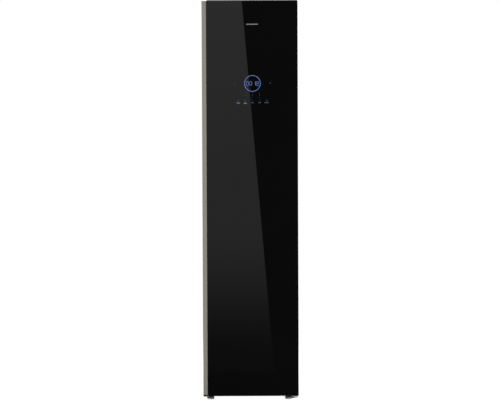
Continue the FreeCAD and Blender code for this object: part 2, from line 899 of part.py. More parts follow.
def build_cabin():
    depth = (BODY_FRONT, LINER_BACK)
    tall = (PAN_TOP, CEILING)
    node("cabin_wall_left", box("left_liner", (LINER_LEFT, CABIN_LEFT), depth, tall))
    node("cabin_wall_right", box("right_liner", (CABIN_RIGHT, LINER_RIGHT), depth, tall))
    wide = (CABIN_LEFT, CABIN_RIGHT)
    back_wall = box("rear_liner", wide, (CABIN_BACK, LINER_BACK), (CABIN_FLOOR, CEILING))
    node("cabin_back_wall", back_wall)

    half = D.arm_width / 2 + D.shake + D.liner
    slots = [
        rectangle((x - half, x + half), (-D.arm_thickness / 2 - D.liner, D.arm_thickness / 2 + D.liner))
        for x in (-D.arm_spacing / 2, D.arm_spacing / 2)
    ]
    roof = rectangle((LINER_LEFT, LINER_RIGHT), depth)
    node("cabin_ceiling", extrude("ceiling", "z", [roof] + slots, (CEILING, CEILING_TOP)))

    foam_depth = (SKIN_FRONT, LINER_BACK)
    left_foam = box("left_foam", (SHELL_LEFT, LINER_LEFT), foam_depth, tall)
    right_foam = box("right_foam", (LINER_RIGHT, SHELL_RIGHT), foam_depth, tall)
    node("side_insulation", group("insulation", left_foam, right_foam))
    build_cabin_floor()
    build_bay()
    lamp_front = BODY_FRONT + D.lamp_setback
    lamp = box(
        "lamp",
        (-D.lamp_length / 2, D.lamp_length / 2),
        (lamp_front, lamp_front + D.lamp_width),
        (CEILING - D.lamp_height, CEILING),
    )
    node("cabin_lamp", lamp)


def build_cabin_floor():
    """Floor over the machine room, slotted over the coils and over the fan."""
    start = -D.slot_pitch * (D.slot_count - 1) / 2 - D.slot_width / 2
    slots = []
    for start_y in (BAY_BACK + D.slot_width * 4, CABIN_BACK - D.slot_width * 8 - D.slot_length):
        slots.append(rectangle((start, start + D.slot_width), (start_y, start_y + D.slot_length)))
    plate = rectangle((CABIN_LEFT, CABIN_RIGHT), (BAY_BACK, LINER_BACK))
    steam_hole = ((STEAM_X, STEAM_Y), D.steam_tube_radius)
    floor = extrude("floor", "z", [plate, steam_hole], (FLOOR_UNDERSIDE, CABIN_FLOOR))
    repeat_cut(floor, "XY_Plane", slots, D.slot_pitch, D.slot_count)
    node("cabin_floor", floor)


def build_bay():
    """Open-topped bay for the two tanks and the filter, behind a low front panel."""
    wide = (CABIN_LEFT, CABIN_RIGHT)
    tray = box("bay_tray", wide, (PANEL_BACK, BAY_BACK), (BAY_FLOOR - D.bay_wall, BAY_FLOOR))
    wall = box("bay_rear", wide, (BAY_BACK - D.bay_wall, BAY_BACK), (BAY_FLOOR, CABIN_FLOOR))
    node("tank_bay", fuse("bay", tray, wall))
    panel_top = PAN_FLOOR + D.front_panel_height
    panel = box("kick_panel", wide, (BODY_FRONT, PANEL_BACK), (PAN_FLOOR, panel_top))
    notch = box("pan_notch", wide, (SKIN_FRONT, SKIN_FRONT + D.sheet), (PAN_FLOOR, PAN_TOP))
    node("lower_front_panel", cut("front_panel", panel, notch))

    half = TANK_INNER - D.housing_gap
    front = FILTER_BACK + D.filter_gap
    rear = BAY_BACK - D.bay_wall
    shell = box("housing_block", (-half, half), (front, rear), (BAY_FLOOR, CABIN_FLOOR - D.cabin_floor))
    hollow = box(
        "housing_hollow",
        (-half + D.bay_wall, half - D.bay_wall),
        (front + D.bay_wall, rear),
        (BAY_FLOOR + D.bay_wall, CABIN_FLOOR - D.cabin_floor * 2),
    )
    node("filter_housing", cut("housing", shell, hollow))


# ---------------------------------------------------------------- tanks and lint filter

TANK_OUTER = CABIN_RIGHT - D.tank_side_gap
TANK_INNER = D.filter_width / 2 + D.tank_filter_gap
TANK_FRONT = PANEL_BACK + D.tank_front_gap
TANK_BOTTOM = BAY_FLOOR + D.tank_seat_gap
TANK_TOP = CABIN_FLOOR + D.tank_seat_gap - D.lid_thickness - D.grip_height
FILTER_BACK = TANK_FRONT + D.filter_thickness


def build_tank(kind, x):
    y = (TANK_FRONT, TANK_FRONT + D.tank_depth)
    outside = extrude(f"{kind}_block", "z", [rectangle(x, y)], (TANK_BOTTOM, TANK_TOP), D.tank_corner)
    wall = D.tank_wall
    inner = rectangle((x[0] + wall, x[1] - wall), (y[0] + wall, y[1] - wall))
    hollow = extrude(f"{kind}_hollow", "z", [inner], (TANK_BOTTOM + wall, TANK_TOP), D.tank_corner - wall)
    node(f"{kind}_tank", cut(f"{kind}_vessel", outside, hollow))

    lid_top = TANK_TOP + D.lid_thickness
    lid = extrude(f"{kind}_cover", "z", [rectangle(x, y)], (TANK_TOP, lid_top), D.tank_corner)
    middle_x = (x[0] + x[1]) / 2
    middle_y = (y[0] + y[1]) / 2
    grip_x = (middle_x - D.grip_width / 2, middle_x + D.grip_width / 2)
    grip_y = (middle_y - D.grip_depth / 2, middle_y + D.grip_depth / 2)
    arch = box(f"{kind}_arch", grip_x, grip_y, (lid_top, lid_top + D.grip_height))
    gap = box(
        f"{kind}_finger_gap",
        (grip_x[0] + D.grip_wall, grip_x[1] - D.grip_wall),
        grip_y,
        (lid_top, lid_top + D.grip_height - D.grip_wall),
    )
    grip = cut(f"{kind}_grip", arch, gap)
    filler = (middle_x, y[0] + D.filler_setback)
    cap = rod(f"{kind}_filler", "z", filler, D.filler_radius, (lid_top, lid_top + D.filler_height))
    node(f"{kind}_tank_lid", fuse(f"{kind}_lid", lid, grip, cap))


def build_tanks():
    build_tank("supply", (-TANK_OUTER, -TANK_INNER))
    build_tank("drain", (TANK_INNER, TANK_OUTER))
    half = D.filter_width / 2
    top = CABIN_FLOOR - D.filter_drop
    cassette = box("cassette", (-half, half), (TANK_FRONT, FILTER_BACK), (TANK_BOTTOM, top))
    middle = TANK_FRONT + D.filter_thickness / 2
    web = D.filter_web / 2
    rim = D.filter_rim
    recesses = [
        box(f"{side}_recess", (-half + rim, half - rim), span, (TANK_BOTTOM + rim, top - rim * 3))
        for side, span in (("front", (TANK_FRONT, middle - web)), ("rear", (middle + web, FILTER_BACK)))
    ]
    node("lint_filter", cut("filter", cassette, *recesses))


# ---------------------------------------------------------------- hanging rail

RAIL_Z = CEILING - D.rail_drop
GUIDE_Z = CEILING_TOP + D.guide_height
RACK_LOW = CEILING_TOP + D.rack_lift
RACK_HIGH = RACK_LOW + D.rack_height
PITCH_RADIUS = D.tooth_module * D.pinion_teeth / 2
PITCH_LINE = D.rack_offset + D.rack_depth + D.tooth_module * TOOTH_REACH
PINION_Y = PITCH_LINE + PITCH_RADIUS


def build_rail():
    """Rail hung from two arms that slide on a guide rod above the ceiling."""
    half = D.rail_length / 2
    bar = rod("rail_bar", "x", (0, RAIL_Z), D.rail_radius, (-half, half))
    arms = []
    for side, x in (("left", -D.arm_spacing / 2), ("right", D.arm_spacing / 2)):
        span_x = (x - D.arm_width / 2, x + D.arm_width / 2)
        span_y = (-D.arm_thickness / 2, D.arm_thickness / 2)
        arms.append(box(f"{side}_arm", span_x, span_y, (RAIL_Z, RACK_HIGH)))
    beam_x = (-D.arm_spacing / 2 - D.arm_width / 2, D.arm_spacing / 2 + D.arm_width / 2)
    rack_back = D.rack_offset + D.rack_depth
    beam = box("rack_beam", beam_x, (-D.arm_thickness / 2, rack_back), (RACK_LOW, RACK_HIGH))
    joined = fuse("rail_and_beam", bar, *arms, beam, build_rack())
    bore = rod("guide_bore", "x", (0, GUIDE_Z), D.guide_radius + D.guide_clearance, (-half, half))
    node("hanger_rail", cut("rail", joined, bore))

    ends = []
    edge = (CABIN_RIGHT - D.liner * 2, CABIN_RIGHT - D.liner * 2 - D.bracket_width)
    for side, low, high in (("left", -edge[0], -edge[1]), ("right", edge[1], edge[0])):
        depth = (-D.bracket_depth / 2, D.bracket_depth / 2)
        height = (CEILING_TOP, GUIDE_Z + D.guide_radius * 2)
        ends.append(box(f"{side}_bracket", (low, high), depth, height))
    guide = rod("guide_rod", "x", (0, GUIDE_Z), D.guide_radius, (-edge[0], edge[0]))
    node("rail_guide", fuse("guide", guide, *ends))


def rack_tooth(centre):
    """Straight-flanked tooth that points back at the pinion."""
    root = PITCH_LINE - D.tooth_module * TOOTH_REACH
    tip = PITCH_LINE + D.tooth_module * TOOTH_REACH
    wide = D.tooth_module * RACK_TOOTH_FOOT
    narrow = D.tooth_module * RACK_TOOTH_TIP
    return [(centre - wide, root), (centre + wide, root), (centre + narrow, tip), (centre - narrow, tip)]


def build_rack():
    """Teeth on the back of the beam; a gap stands opposite the pinion's middle."""
    pitch = D.tooth_module * math.pi
    half_count = round(D.rack_half_teeth.value)
    teeth = []
    for number in range(-half_count, half_count):
        outline = rack_tooth(pitch * (number + 0.5))
        teeth.append(extrude(f"rack_tooth_{number + half_count}", "z", [outline], (RACK_LOW, RACK_HIGH)))
    return fuse("rack_teeth", *teeth)


def build_drive():
    """Pinion with its first tooth pointing at the rack, on a small gear motor."""
    unit = D.tooth_module
    body = DOC.addObject("PartDesign::Body", "pinion")
    disc = new_sketch(body, "XY_Plane", "pinion_disc")
    root_radius = PITCH_RADIUS - unit * PINION_ROOT
    draw_loops(disc, [((0, 0), root_radius), ((0, 0), D.pinion_bore + D.pin_clearance)])
    blank = body.newObject("PartDesign::Pad", "pinion_blank")
    blank.Profile = disc
    bind(blank, "Length", D.rack_height)
    DOC.recompute()
    tooth = new_sketch(body, "XY_Plane", "pinion_tooth_outline")
    steps = [(PITCH_RADIUS + unit * out, unit * half) for out, half in PINION_FLANK]
    left_flank = [(-half, -radius) for radius, half in steps]
    right_flank = [(half, -radius) for radius, half in reversed(steps)]
    draw_loops(tooth, [left_flank + right_flank])
    one = body.newObject("PartDesign::Pad", "pinion_tooth")
    one.Profile = tooth
    bind(one, "Length", D.rack_height)
    DOC.recompute()
    ring = body.newObject("PartDesign::PolarPattern", "pinion_teeth")
    ring.Originals = [one]
    ring.Axis = (disc, ["N_Axis"])
    ring.Angle = 360
    bind(ring, "Occurrences", D.pinion_teeth)
    body.Tip = ring
    place(body, (0, PINION_Y, RACK_LOW))
    node("shaker_pinion", body)

    motor_top = CEILING_TOP + D.motor_height
    can = rod("motor_can", "z", (0, PINION_Y), D.motor_radius, (CEILING_TOP, motor_top))
    shaft = rod("motor_shaft", "z", (0, PINION_Y), D.pinion_bore, (motor_top, RACK_HIGH))
    node("shaker_motor", fuse("shaker_drive", can, shaft))


def build_hanger(number, x):
    """Contoured hanger whose hook rides on the rail."""
    neck = RAIL_Z - D.hanger_neck
    tip = neck - D.hanger_slope
    half = D.hanger_half_width
    neck_half = D.hanger_thickness
    shoulders = [
        (-half, tip - D.hanger_tip),
        (0, tip + D.hanger_tip),
        (half, tip - D.hanger_tip),
        (half, tip),
        (neck_half, neck),
        (-neck_half, neck),
        (-half, tip),
    ]
    span = (x - D.hanger_thickness / 2, x + D.hanger_thickness / 2)
    rounding = D.hanger_thickness * HANGER_ROUND
    arms = extrude(f"hanger_arms_{number}", "x", [shoulders], span, rounding, (0, 2, 3, 6))
    node(f"hanger_{number}", fuse(f"hanger_whole_{number}", arms, build_hook(number, x, neck)))


def build_hook(number, x, neck):
    """Wire hook: round the rail with a small clearance, then down into the neck."""
    centre_x = as_size(x).value
    height = RAIL_Z.value
    radius = (D.rail_radius + D.hook_clearance + D.hook_wire).value

    def on_arc(degrees):
        angle = math.radians(degrees)
        return Vector(centre_x, radius * math.cos(angle), height + radius * math.sin(angle))

    def heading(degrees):
        angle = math.radians(degrees)
        return Vector(0, math.sin(angle), -math.cos(angle))

    bend_end = Vector(centre_x, 0, height - radius * HOOK_DROP)
    start = on_arc(HOOK_START)
    leave = on_arc(HOOK_END)
    joint = leave + heading(HOOK_END) * (radius * HOOK_LEAD)
    edges = [
        Part.Arc(start, on_arc(90), leave).toShape(),
        Part.LineSegment(leave, joint).toShape(),
        Part.LineSegment(joint, bend_end).toShape(),
        Part.LineSegment(bend_end, Vector(centre_x, 0, neck.value - radius / 2)).toShape(),
    ]
    section = Part.Wire(Part.makeCircle(D.hook_wire.value, start, heading(HOOK_START)))
    hook = DOC.addObject("Part::Feature", f"hook_{number}")
    hook.Shape = Part.Wire(edges).makePipeShell([section], True, False, 1)
    return hook


# ---------------------------------------------------------------- machine room

DUCT_LEFT = D.duct_shift - D.duct_width / 2
DUCT_RIGHT = D.duct_shift + D.duct_width / 2
DUCT_FRONT = BAY_BACK + D.liner
DUCT_BACK = DUCT_FRONT + D.duct_depth
DUCT_BOTTOM = FLOOR_UNDERSIDE - D.duct_height
DUCT_FLOOR = DUCT_BOTTOM + D.duct_wall
EVAPORATOR_FRONT = DUCT_FRONT + D.coil_gap
CONDENSER_FRONT = EVAPORATOR_FRONT + D.evaporator_depth + D.coil_gap
FAN_X = D.duct_shift
FAN_Y = DUCT_BACK - D.duct_wall - D.coil_gap - D.fan_radius
COMPRESSOR_X = CABIN_RIGHT - D.compressor_margin - D.compressor_radius
COMPRESSOR_Y = INSIDE_BACK - D.compressor_margin - D.compressor_radius
BOILER_LEFT = CABIN_LEFT + D.tank_side_gap
BOILER_BACK = INSIDE_BACK - D.control_depth - D.inlet_depth - D.compressor_margin * 2
STEAM_X = BOILER_LEFT + D.boiler_width / 3
STEAM_Y = BOILER_BACK - D.boiler_depth / 2
PIPE_SIDE = (DUCT_RIGHT + CABIN_RIGHT) / 2


def build_coil(name, front, depth):
    """Heat exchanger block with fins cut into its top and underside."""
    half = D.coil_width / 2
    block = rectangle((-half, half), (0, D.coil_height))
    body = extrude(name, "y", [block], (0, depth))
    start = -half + D.fin_pitch - D.fin_gap / 2
    across = (start, start + D.fin_gap)
    core_low = (D.coil_height - D.fin_core) / 2
    lower_gap = rectangle(across, (D.fin_gap, core_low))
    upper_gap = rectangle(across, (core_low + D.fin_core, D.coil_height - D.fin_gap))
    count = math.floor(D.coil_width.value / D.fin_pitch.value) - 1
    repeat_cut(body, "XZ_Plane", [lower_gap, upper_gap], D.fin_pitch, count)
    place(body, (D.duct_shift, front + depth, DUCT_FLOOR))
    return node(name, body)


def build_duct():
    depth = (DUCT_FRONT, DUCT_BACK)
    outside = box("duct_block", (DUCT_LEFT, DUCT_RIGHT), depth, (DUCT_BOTTOM, FLOOR_UNDERSIDE))
    inside = box(
        "duct_hollow",
        (DUCT_LEFT + D.duct_wall, DUCT_RIGHT - D.duct_wall),
        (DUCT_FRONT + D.duct_wall, DUCT_BACK - D.duct_wall),
        (DUCT_FLOOR, FLOOR_UNDERSIDE),
    )
    duct_side = (DUCT_RIGHT - D.duct_wall, DUCT_RIGHT)
    holes = [
        rod(f"{name}_pipe_hole", "x", (y, z), D.pipe_radius + D.pin_clearance, duct_side)
        for name, y, z in pipe_ends()
    ]
    node("air_duct", cut("duct", outside, inside, *holes))
    build_coil("evaporator", EVAPORATOR_FRONT, D.evaporator_depth)
    build_coil("condenser", CONDENSER_FRONT, D.condenser_depth)
    build_fan()


def pipe_ends():
    """Where the two refrigerant pipes reach their coils: name, y and z."""
    low = DUCT_FLOOR + D.coil_height / 2
    return (
        ("hot", CONDENSER_FRONT + D.condenser_depth / 2, low),
        ("cold", EVAPORATOR_FRONT + D.evaporator_depth / 2, low + D.pipe_bend * 2),
    )


def build_fan():
    motor_top = DUCT_FLOOR + D.fan_motor_height
    can = rod("fan_motor_can", "z", (FAN_X, FAN_Y), D.fan_motor_radius, (DUCT_FLOOR, motor_top))
    fan_low = motor_top + D.fan_lift
    shaft_top = fan_low + D.fan_height / 2
    shaft = rod("fan_shaft", "z", (FAN_X, FAN_Y), D.fan_shaft_radius, (motor_top, shaft_top))
    node("blower_motor", fuse("fan_motor", can, shaft))

    body = DOC.addObject("PartDesign::Body", "fan_wheel")
    disc = new_sketch(body, "XY_Plane", "fan_disc")
    bore = ((0, 0), D.fan_shaft_radius + D.fan_clearance)
    draw_loops(disc, [((0, 0), D.fan_radius), bore])
    plate = body.newObject("PartDesign::Pad", "fan_plate")
    plate.Profile = disc
    bind(plate, "Length", D.fan_disc)
    DOC.recompute()
    hub = new_sketch(body, "XY_Plane", "fan_hub")
    draw_loops(hub, [((0, 0), D.fan_hub_radius), bore])
    boss = body.newObject("PartDesign::Pad", "fan_boss")
    boss.Profile = hub
    bind(boss, "Length", D.fan_height / 2)
    DOC.recompute()
    blade = new_sketch(body, "XY_Plane", "fan_blade_outline")
    inner = D.fan_radius - D.fan_blade_length
    outer = D.fan_radius - D.fan_blade
    lean = D.fan_blade_length / 3
    outline = [
        (inner, 0),
        (outer, lean),
        (outer, lean + D.fan_blade),
        (inner, D.fan_blade),
    ]
    draw_loops(blade, [outline])
    one = body.newObject("PartDesign::Pad", "fan_blade")
    one.Profile = blade
    bind(one, "Length", D.fan_height)
    DOC.recompute()
    ring = body.newObject("PartDesign::PolarPattern", "fan_blades")
    ring.Originals = [one]
    ring.Axis = (disc, ["N_Axis"])
    ring.Angle = 360
    bind(ring, "Occurrences", D.fan_blades)
    body.Tip = ring
    place(body, (FAN_X, FAN_Y, fan_low))
    node("blower_impeller", body)


def build_compressor():
    foot = PAN_FLOOR + D.compressor_foot
    plate_top = foot + D.compressor_plate
    shoulder = plate_top + D.compressor_height
    crown = shoulder + D.compressor_dome
    radius = D.compressor_radius
    profile = [
        (0, plate_top),
        (radius * CAN_FOOT, plate_top),
        (radius, plate_top + D.compressor_dome / 2),
        (radius, shoulder),
        (radius * CAN_SHOULDER, shoulder + D.compressor_dome / 2),
        (radius * CAN_CROWN, crown),
        (0, crown),
    ]
    where = (COMPRESSOR_X, COMPRESSOR_Y)
    can = turn("compressor_can", profile, where)
    side = radius * CAN_PLATE
    plate = box(
        "compressor_plate",
        (COMPRESSOR_X - side, COMPRESSOR_X + side),
        (COMPRESSOR_Y - side, COMPRESSOR_Y + side),
        (foot, plate_top),
    )
    mounts = []
    offset = side - D.compressor_foot
    for number, (across, along) in enumerate(((-1, -1), (1, -1), (1, 1), (-1, 1))):
        corner = (COMPRESSOR_X + offset * across, COMPRESSOR_Y + offset * along)
        mounts.append(rod(f"mount_{number}", "z", corner, D.compressor_foot * CAN_MOUNT, (PAN_FLOOR, foot)))
    stub_top = crown + D.stub_height
    start_x = PIPE_SIDE - D.pipe_bend * PIPE_OFFSET
    stubs = [
        rod(f"{name}_stub", "z", (start_x, y), D.stub_radius, (shoulder, stub_top))
        for name, y in pipe_starts()
    ]
    node("compressor", fuse("compressor_unit", can, plate, *mounts, *stubs))

    pipes = []
    for (name, start_y), (_end, end_y, end_z) in zip(pipe_starts(), pipe_ends()):
        turn_z = end_z - D.pipe_bend * PIPE_RISE
        route = [
            (start_x, start_y, stub_top),
            (start_x, start_y, turn_z),
            (PIPE_SIDE, start_y, turn_z),
            (PIPE_SIDE, start_y, end_z),
            (PIPE_SIDE, end_y, end_z),
            (D.duct_shift + D.coil_width / 2, end_y, end_z),
        ]
        pipes.append(tube(f"{name}_pipe", route, D.pipe_radius, D.pipe_bend))
    node("refrigerant_pipes", group("pipes", *pipes))


def pipe_starts():
    """The two stubs on the compressor: name and y."""
    return (("hot", COMPRESSOR_Y - D.pipe_bend), ("cold", COMPRESSOR_Y + D.pipe_bend))


def build_water_side():
    """Boiler with its steam tube, the two pumps under the tanks, and the control box."""
    x = (BOILER_LEFT, BOILER_LEFT + D.boiler_width)
    y = (BOILER_BACK - D.boiler_depth, BOILER_BACK)
    boiler_top = PAN_FLOOR + D.boiler_height
    vessel = extrude("boiler", "z", [rectangle(x, y)], (PAN_FLOOR, boiler_top), D.boiler_round)
    node("steam_generator", vessel)
    steam = rod("steam_riser", "z", (STEAM_X, STEAM_Y), D.steam_tube_radius, (boiler_top, CABIN_FLOOR))
    node("steam_pipe", steam)

    pumps = []
    for kind, centre in (("supply", -1), ("drain", 1)):
        pump_x = (TANK_INNER + TANK_OUTER) / 2 * centre
        pump_y = (PANEL_BACK + BAY_BACK) / 2
        height = PAN_FLOOR + D.pump_radius
        span = (pump_y - D.pump_length / 2, pump_y + D.pump_length / 2)
        can = rod(f"{kind}_pump_can", "y", (pump_x, height), D.pump_radius, span)
        half = D.pump_block / 2
        block = box(
            f"{kind}_pump_block",
            (pump_x - half, pump_x + half),
            (pump_y - half / 2, pump_y + half / 2),
            (PAN_FLOOR, height + D.pump_block),
        )
        pumps.append(fuse(f"{kind}_pump", can, block))
    node("water_pumps", group("pumps", *pumps))

    control_y = (INSIDE_BACK - D.control_depth - D.inlet_depth, INSIDE_BACK - D.inlet_depth)
    control_x = (BOILER_LEFT, BOILER_LEFT + D.control_width)
    case = box("control_case", control_x, control_y, (PAN_FLOOR, PAN_FLOOR + D.control_height))
    node("control_box", case)


# ---------------------------------------------------------------- making and checking

def check_document():
    """Stops with a plain message if any object failed or any sub-part isn't a sound solid."""
    for thing in DOC.Objects:
        if "Invalid" in thing.State or "Error" in thing.State:
            raise RuntimeError(f"{thing.Label} failed to recompute: {thing.State}")
    for thing in NODES:
        shape = thing.Shape
        if shape.isNull() or not shape.isValid() or not shape.Solids:
            raise RuntimeError(f"{thing.Label} has no sound solid")


def main():
    build_door()
    build_hinges()
    build_shell()
    build_feet()
    build_cabin()
    build_tanks()
    build_rail()
    build_drive()
    for number in range(3):
        build_hanger(number + 1, D.hanger_pitch * (number - 1))
    build_duct()
    build_compressor()
    build_water_side()
    DOC.recompute()
    check_document()
    os.makedirs("parts", exist_ok=True)
    for thing in NODES:
        thing.Shape.exportStep(f"parts/{thing.Label}.step")
        print(f"{thing.Label}: {len(thing.Shape.Solids)} solid(s)")
    print(f"{len(NODES)} nodes")


main()
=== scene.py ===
import json
import math

import bmesh
import bpy
from mathutils import Euler, Matrix, Vector


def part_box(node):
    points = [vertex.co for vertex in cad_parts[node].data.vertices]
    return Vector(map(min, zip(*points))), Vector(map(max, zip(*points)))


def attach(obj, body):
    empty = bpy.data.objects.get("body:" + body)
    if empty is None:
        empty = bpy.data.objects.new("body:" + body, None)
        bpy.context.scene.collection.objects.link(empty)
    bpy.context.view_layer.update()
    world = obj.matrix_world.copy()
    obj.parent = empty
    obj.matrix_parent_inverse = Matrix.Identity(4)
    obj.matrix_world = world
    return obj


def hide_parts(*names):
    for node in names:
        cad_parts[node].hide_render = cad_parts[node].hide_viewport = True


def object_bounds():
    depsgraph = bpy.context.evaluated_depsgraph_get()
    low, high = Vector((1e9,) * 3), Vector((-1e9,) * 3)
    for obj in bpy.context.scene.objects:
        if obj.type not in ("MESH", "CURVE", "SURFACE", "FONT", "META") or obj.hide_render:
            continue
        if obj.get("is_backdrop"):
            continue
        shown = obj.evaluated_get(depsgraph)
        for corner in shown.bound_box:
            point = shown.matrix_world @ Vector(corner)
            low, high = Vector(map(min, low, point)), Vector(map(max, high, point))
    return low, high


# Clothes care steam cabinet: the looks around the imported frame.
# Metres, +Z up; the glass front faces -Y and the grip strip is on its left (-X).

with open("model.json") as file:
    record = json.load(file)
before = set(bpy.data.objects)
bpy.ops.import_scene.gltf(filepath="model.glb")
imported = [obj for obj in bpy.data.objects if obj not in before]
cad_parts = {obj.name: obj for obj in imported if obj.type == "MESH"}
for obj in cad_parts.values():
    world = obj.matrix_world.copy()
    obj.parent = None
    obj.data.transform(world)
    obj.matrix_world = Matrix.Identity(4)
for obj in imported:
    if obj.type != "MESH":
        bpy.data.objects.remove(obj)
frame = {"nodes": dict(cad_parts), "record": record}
CAD_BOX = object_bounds()
NODES = frame["nodes"]
MM = 0.001

SLOT_OF = {part["node"]: part["material_slot"] for part in frame["record"]["subparts"]}

# ---------------------------------------------------------------- colours (linear)

BLACK_GLASS = (0.0027, 0.0027, 0.0028)
CHAMPAGNE = (0.212, 0.203, 0.173)
BLACK_PLASTIC = (0.012, 0.012, 0.013)
DARK_PLASTIC = (0.045, 0.045, 0.048)
GREY_PLASTIC = (0.24, 0.24, 0.245)
GREY_PAINT = (0.30, 0.30, 0.305)
ZINC = (0.42, 0.43, 0.445)
LINER = (0.62, 0.63, 0.64)
FOAM = (0.70, 0.62, 0.42)
SEAL_GREY = (0.16, 0.16, 0.165)
SOLE_GREY = (0.42, 0.41, 0.39)
SOLE_PALE = (0.62, 0.60, 0.57)
FOOT_BLACK = (0.02, 0.02, 0.021)
STEEL = (0.56, 0.56, 0.57)
COPPER = (0.80, 0.42, 0.26)
FIN_METAL = (0.70, 0.71, 0.72)
SMOKED = (0.42, 0.50, 0.54)
BOARD_GREEN = (0.01, 0.09, 0.035)
MILKY = (0.72, 0.73, 0.75)
NYLON = (0.62, 0.60, 0.54)
DISPLAY_BLUE = (0.223, 0.343, 0.850)
DIM_BLUE = (0.014, 0.024, 0.082)
FAINT_BLUE = (0.008, 0.012, 0.045)
ICON_BLUE = (0.022, 0.048, 0.200)
LABEL_WHITE = (0.215, 0.213, 0.204)
LABEL_GREY = (0.072, 0.071, 0.066)
TRIM_SILVER = (0.17, 0.17, 0.165)
HINGE_GREY = (0.5, 0.5, 0.485)


# ---------------------------------------------------------------- node helpers

def link(tree, source, target):
    tree.links.new(source, target)


def set_inputs(node, **values):
    """Sets sockets by name; an underscore stands for a space."""
    for socket, value in values.items():
        node.inputs[socket.replace("_", " ")].default_value = value


def new_tree(name):
    """A material without any nodes, and its tree."""
    made = bpy.data.materials.new(name)
    made.use_nodes = True
    made.node_tree.nodes.clear()
    return made, made.node_tree


def calculate(tree, operation, first, second):
    """Math node over two inputs, each of them a socket or a number."""
    node = tree.nodes.new("ShaderNodeMath")
    node.operation = operation
    for number, value in enumerate((first, second)):
        if isinstance(value, (int, float)):
            node.inputs[number].default_value = value
        else:
            link(tree, value, node.inputs[number])
    return node.outputs["Value"]


def mapped(tree, source, span, levels=(0, 1), kind="LINEAR"):
    """Maps a span of the source to a pair of levels."""
    ranged = tree.nodes.new("ShaderNodeMapRange")
    ranged.interpolation_type = kind
    set_inputs(ranged, From_Min=span[0], From_Max=span[1], To_Min=levels[0], To_Max=levels[1])
    link(tree, source, ranged.inputs["Value"])
    return ranged.outputs["Result"]


def own_place(tree):
    """The object's own coordinates."""
    return tree.nodes.new("ShaderNodeTexCoord").outputs["Object"]


def own_height(tree):
    split = tree.nodes.new("ShaderNodeSeparateXYZ")
    link(tree, own_place(tree), split.inputs["Vector"])
    return split.outputs["Z"]


def seen_rays(tree):
    """1 for rays of the eye, of gloss and through clear things; 0 for rays that only light."""
    path = tree.nodes.new("ShaderNodeLightPath")
    seen = calculate(tree, "MAXIMUM", path.outputs["Is Camera Ray"], path.outputs["Is Glossy Ray"])
    return calculate(tree, "MAXIMUM", seen, path.outputs["Is Transmission Ray"])


# ---------------------------------------------------------------- materials

# places of the colour sockets of a Mix node, whose names stand there several times
MIX_TONES = (6, 7)
MIX_RESULT = 2
NOISE_MIDDLE = (0.3, 0.7)
DRIFT_DETAIL = 3
GRAIN_DETAIL = 4
RELIEF_STRENGTH = 0.5
SIGN_CELL = 0.004
SIGN_CELL_DETAIL = 2
SIGN_DIMMEST = 0.94
SOLE_TOP = 6 * MM


def noise(tree, size, stretch, detail):
    """Noise over the piece's own coordinates; size in metres, stretch widens it along x, y, z."""
    scale = tree.nodes.new("ShaderNodeMapping")
    scale.inputs["Scale"].default_value = [1 / wide for wide in stretch]
    link(tree, own_place(tree), scale.inputs["Vector"])
    grain = tree.nodes.new("ShaderNodeTexNoise")
    set_inputs(grain, Scale=1 / size, Detail=detail)
    link(tree, scale.outputs["Vector"], grain.inputs["Vector"])
    return grain.outputs["Fac"]


def tinted(tree, factor, first, second):
    """Colour between two tones."""
    mix = tree.nodes.new("ShaderNodeMix")
    mix.data_type = "RGBA"
    for socket, tone in zip(MIX_TONES, (first, second)):
        mix.inputs[socket].default_value = (*tone, 1)
    link(tree, factor, mix.inputs["Factor"])
    return mix.outputs[MIX_RESULT]


def surface(name, colour, roughness, metallic=0.0, drift=0.05, drift_size=0.2, grain=0.0012,
            stretch=(1, 1, 1), relief=0.00003, gloss_change=0.04, **sockets):
    """Principled finish with slow colour drift, fine grain in the gloss and a fine relief."""
    made = bpy.data.materials.new(name)
    made.use_nodes = True
    tree = made.node_tree
    shader = tree.nodes["Principled BSDF"]
    slow = mapped(tree, noise(tree, drift_size, stretch, DRIFT_DETAIL), NOISE_MIDDLE)
    darker = [part * (1 - drift) for part in colour]
    lighter = [min(1, part * (1 + drift)) for part in colour]
    link(tree, tinted(tree, slow, darker, lighter), shader.inputs["Base Color"])
    fine = noise(tree, grain, stretch, GRAIN_DETAIL)
    gloss = (max(0, roughness - gloss_change), roughness + gloss_change)
    link(tree, mapped(tree, fine, NOISE_MIDDLE, gloss), shader.inputs["Roughness"])
    if relief:
        bump = tree.nodes.new("ShaderNodeBump")
        set_inputs(bump, Strength=RELIEF_STRENGTH, Distance=relief)
        link(tree, fine, bump.inputs["Height"])
        link(tree, bump.outputs["Normal"], shader.inputs["Normal"])
    set_inputs(shader, Metallic=metallic, **sockets)
    return made


def glowing(name, colour):
    """A lit sign behind the glass: it glows and keeps the gloss of the pane."""
    made = surface(name, BLACK_GLASS, 0.03, drift=0.1, grain=0.05, relief=0, gloss_change=0.005)
    tree = made.node_tree
    shader = tree.nodes["Principled BSDF"]
    cells = mapped(tree, noise(tree, SIGN_CELL, (1, 1, 1), SIGN_CELL_DETAIL), NOISE_MIDDLE)
    dim = [part * SIGN_DIMMEST for part in colour]
    link(tree, tinted(tree, cells, dim, colour), shader.inputs["Emission Color"])
    set_inputs(shader, Emission_Strength=1.0)
    return made


def two_tone(name, lower, upper, height, roughness):
    """Rubber foot: a lighter sole up to a height, a darker grip ring above it."""
    made = surface(name, upper, roughness, grain=0.0008)
    tree = made.node_tree
    shader = tree.nodes["Principled BSDF"]
    above = calculate(tree, "GREATER_THAN", own_height(tree), height)
    link(tree, tinted(tree, above, lower, upper), shader.inputs["Base Color"])
    return made


